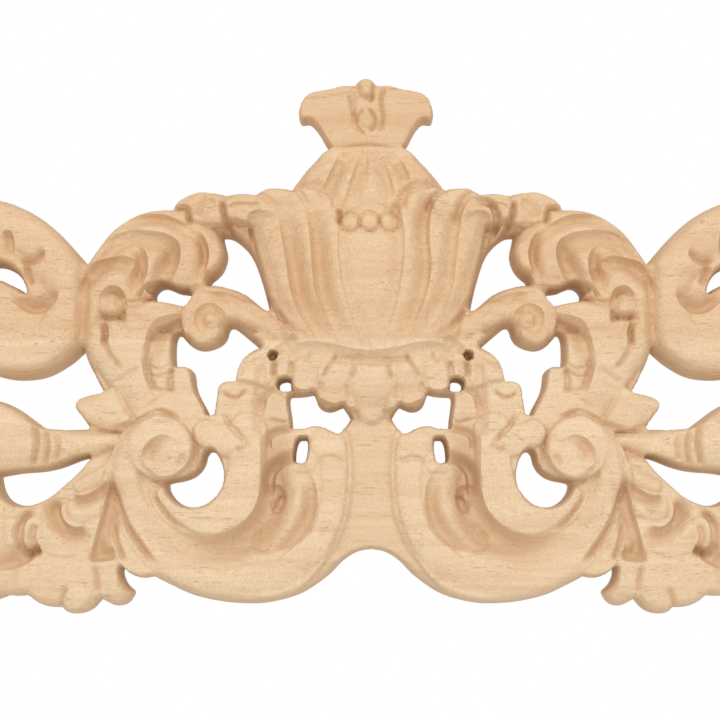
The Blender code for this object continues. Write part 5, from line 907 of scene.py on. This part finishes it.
def carved(name):
    """The applique as a closed mesh: flat back, sawn walls in their own material, and carved front."""
    borders = leaning(rings(EDGE_SPACING), LEAN_OF_WALLS)
    border = np.vstack(borders)
    places, front = triangulated(carving_points(borders), borders)
    _, back = triangulated(border, borders)
    height, cut = heights(places, borders)
    mesh = bmesh.new()
    shift = drift(places[:, 0], places[:, 1])
    tops = [mesh.verts.new(((x + d) * MM, -h * MM, z * MM)) for (x, z), d, h in zip(places, shift, height)]
    bottoms = [mesh.verts.new((v.co.x, 0.0, v.co.z)) for v in tops[:len(border)]]
    for face in front:
        mesh.faces.new([tops[k] for k in face])
    mesh.normal_update()
    for face in mesh.faces:
        face.material_index = int(abs(face.normal.y) < WALL_SLOPE)
    for face in back:
        mesh.faces.new([bottoms[k] for k in reversed(face)])
    first = 0
    for ring in borders:
        count = len(ring)
        for k in range(count):
            a, b = first + k, first + (k + 1) % count
            mesh.faces.new([tops[b], tops[a], bottoms[a], bottoms[b]]).material_index = 1
        first += count
    bmesh.ops.recalc_face_normals(mesh, faces=mesh.faces)
    data = bpy.data.meshes.new(name)
    mesh.to_mesh(data)
    mesh.free()
    data.shade_smooth()
    data.set_sharp_from_angle(angle=SHARP_ANGLE)
    # The depth of the cuts is kept on the points, for the painted shade in the cuts.
    data.attributes.new("cut", "FLOAT", "POINT").data.foreach_set(
        "value", np.concatenate([cut, np.zeros(len(border))]).astype(np.float32))
    applique = bpy.data.objects.new(name, data)
    bpy.context.collection.objects.link(applique)
    return applique


class Finish:
    """A material's nodes. Every node is added by one method."""

    def __init__(self, name, roughness):
        self.material = bpy.data.materials.new(name)
        self.material.use_nodes = True
        self.tree = self.material.node_tree
        self.shader = self.tree.nodes["Principled BSDF"]
        self.shader.inputs["Roughness"].default_value = roughness
        self.shader.inputs["Specular IOR Level"].default_value = WOOD_SPECULAR

    def node(self, kind, settings=None, inputs=None, output=0):
        """Add a node, set it, fill its sockets and give one of its outputs."""
        node = self.tree.nodes.new(kind)
        for key, value in (settings or {}).items():
            setattr(node, key, value)
        for key, value in (inputs or {}).items():
            self.fill(node.inputs[key], value)
        return Wire(self, node.outputs[output])

    def fill(self, socket, value):
        """Link a wire to a socket, or set the socket's own value."""
        if isinstance(value, Wire):
            self.tree.links.new(value.socket, socket)
        else:
            socket.default_value = value

    def colour(self, value):
        self.fill(self.shader.inputs["Base Color"], value)

    def normal(self, value):
        self.fill(self.shader.inputs["Normal"], value)

    def blend(self, share, a, b, how="MIX"):
        """One colour worked into another. A Mix node's sockets for colours come after the other kinds."""
        return self.node("ShaderNodeMix", {"data_type": "RGBA", "blend_type": how}, {0: share, 6: a, 7: b}, 2)

    def noise(self, place, scales, detail, rough):
        """Cloudy noise, stretched by how many clouds there are to the metre each way."""
        stretched = self.node("ShaderNodeVectorMath", {"operation": "MULTIPLY"}, {0: place, 1: scales})
        return self.node("ShaderNodeTexNoise", None,
                         {"Vector": stretched, "Scale": 1.0, "Detail": detail, "Roughness": rough})

    def between(self, value, low, high):
        """0 below low, 1 above high and a smooth rise between."""
        return self.node("ShaderNodeMapRange", {"interpolation_type": "SMOOTHSTEP"},
                         {"Value": value, "From Min": low, "From Max": high})


class Wire:
    """What comes out of a node. Arithmetic on it adds Math nodes."""

    def __init__(self, finish, socket):
        self.finish = finish
        self.socket = socket

    def math(self, operation, *values):
        return self.finish.node("ShaderNodeMath", {"operation": operation}, dict(enumerate(values)))

    def __add__(self, other):
        return self.math("ADD", self, other)

    __radd__ = __add__

    def __mul__(self, other):
        return self.math("MULTIPLY", self, other)

    __rmul__ = __mul__

    def __sub__(self, other):
        return self.math("SUBTRACT", self, other)

    def __rsub__(self, other):
        return self.math("SUBTRACT", other, self)

    def __pow__(self, other):
        return self.math("POWER", self, other)

    def __rpow__(self, other):
        return self.math("POWER", other, self)

    def sine(self):
        return self.math("SINE", self)


def bare_wood(name, sawn):
    """Two boards of pale wood glued edge to edge, carved and sanded, or sawn."""
    finish = Finish(name, SAWN_ROUGHNESS if sawn else SANDED_ROUGHNESS)
    place = finish.node("ShaderNodeTexCoord", output="Object")
    y, z = (finish.node("ShaderNodeSeparateXYZ", None, {0: place}, axis) for axis in ("Y", "Z"))
    upper = finish.between(z, GLUE_LINE * MM, (GLUE_LINE + GLUE_WIDTH) * MM)
    # The upper board is cut from another plank, so its grain starts elsewhere.
    moved = finish.node("ShaderNodeVectorMath", {"operation": "SCALE"}, {0: BOARD_OFFSET, "Scale": upper})
    board = finish.node("ShaderNodeVectorMath", {"operation": "ADD"}, {0: moved, 1: place})
    cloud, fibre, streak, grit = (finish.noise(board, *kind) for kind in (CLOUD, FIBRE, STREAK, GRIT))
    pore = finish.between(finish.noise(board, *PORE), *PORE_LEVELS)
    pore = pore * finish.between(finish.noise(board, *PORE_PATCH), *PATCH_LEVELS)
    turns = y * RINGS_DEEP + z * RINGS_UP + cloud * RINGS_WAVER + streak * RINGS_FRAY
    late = ((turns * (2.0 * math.pi)).sine() * MIDDLE + MIDDLE) ** LATE_POWER
    light = finish.blend(upper, LOWER_BOARD, UPPER_BOARD)
    dark = finish.blend(upper, LOWER_LATE, UPPER_LATE)
    colour = finish.blend(late * LATE_SHARE + (streak - MIDDLE) * STREAK_SHARE + STREAK_BASE, light, dark)
    grain = (fibre - MIDDLE) * FIBRE_SHARE + (grit - MIDDLE) * GRIT_SHARE + GRAIN_BASE
    colour = finish.blend(grain, colour, dark)
    colour = finish.blend(pore * PORE_SHARE, colour, PORE_COLOUR)
    # Painted shade: the colour is darkened towards brown in deep cuts and on low ground, where shade falls.
    cut = finish.node("ShaderNodeAttribute", {"attribute_name": "cut"}, output="Fac")
    low = finish.between(y, -LOW_SHADE_FROM * MM, -LOW_SHADE_BELOW * MM)
    painted_shade = finish.between(cut, CUT_SHADE_FROM, CUT_SHADE_FULL) * CUT_SHADE_SHARE + low * LOW_SHADE_SHARE
    colour = finish.blend(painted_shade, colour, PAINTED_SHADE_COLOUR)
    if sawn:
        saw = finish.noise(place, *SAW_MARK)
        colour = finish.blend(saw * SAWN_SHARE, colour, SAWN_COLOUR)
        rise = saw * SAW_RISE + fibre * SAWN_FIBRE_RISE
    else:
        rise = fibre * FIBRE_RISE + grit * GRIT_RISE - pore * PORE_DEPTH
    finish.colour(colour)
    finish.normal(finish.node("ShaderNodeBump", None, {"Strength": 1.0, "Distance": 1.0, "Height": rise}))
    return finish.material


def lamp(name, place, power):
    """A large soft studio lamp that points at the middle of the applique."""
    light = bpy.data.lights.new(name, "AREA")
    light.size = LAMP_SIZE
    light.energy = power
    holder = bpy.data.objects.new(name, light)
    holder.location = place
    holder.rotation_euler = (-Vector(place)).to_track_quat("-Z", "Y").to_euler()
    bpy.context.collection.objects.link(holder)


def studio():
    """A pale floor, a white room and soft lamps in front and above."""
    data = bpy.data.meshes.new("floor")
    corners = [(-1, -1), (1, -1), (1, 1), (-1, 1)]
    data.from_pydata([(x * FLOOR_SIZE, y * FLOOR_SIZE, FLOOR_LEVEL) for x, y in corners], [], [(0, 1, 2, 3)])
    floor = bpy.data.objects.new("floor", data)
    bpy.context.collection.objects.link(floor)
    pale = bpy.data.materials.new("pale floor")
    pale.use_nodes = True
    shader = pale.node_tree.nodes["Principled BSDF"]
    shader.inputs["Base Color"].default_value = FLOOR_COLOUR
    shader.inputs["Roughness"].default_value = FLOOR_ROUGHNESS
    data.materials.append(pale)
    room = bpy.data.worlds.new("white room")
    room.use_nodes = True
    nodes, links = room.node_tree.nodes, room.node_tree.links
    backdrop = nodes.new("ShaderNodeBackground")
    backdrop.inputs["Strength"].default_value = 1.0
    backdrop.inputs["Color"].default_value = WHITE
    nodes["Background"].inputs["Color"].default_value = WHITE
    nodes["Background"].inputs["Strength"].default_value = ROOM_LIGHT
    rays = nodes.new("ShaderNodeLightPath")
    mix = nodes.new("ShaderNodeMixShader")
    links.new(rays.outputs["Is Camera Ray"], mix.inputs[0])
    links.new(nodes["Background"].outputs[0], mix.inputs[1])
    links.new(backdrop.outputs[0], mix.inputs[2])
    links.new(mix.outputs[0], nodes["World Output"].inputs[0])
    bpy.context.scene.world = room
    for name, place, power in LAMPS:
        lamp(name, place, power)


def camera():
    """The camera in front of the applique and a little below its middle."""
    data = bpy.data.cameras.new("camera")
    data.lens_unit = "FOV"
    data.angle = 2.0 * math.atan(0.5 * VIEW_WIDTH / VIEW_DISTANCE)
    data.clip_start = NEAREST_SEEN
    view = bpy.data.objects.new("camera", data)
    back = Vector((0.0, -math.cos(VIEW_RISE), -math.sin(VIEW_RISE)))
    view.location = Vector(VIEW_AIM) + back * VIEW_DISTANCE
    view.rotation_euler = (-back).to_track_quat("-Z", "Y").to_euler()
    bpy.context.collection.objects.link(view)
    bpy.context.scene.camera = view


camera()
studio()
applique = carved("carving")
applique.data.materials.append(bare_wood("bare sanded wood", sawn=False))
applique.data.materials.append(bare_wood("sawn wood", sawn=True))
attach(applique, "root")
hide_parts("applique")
bpy.context.scene.view_settings.view_transform = "Standard"
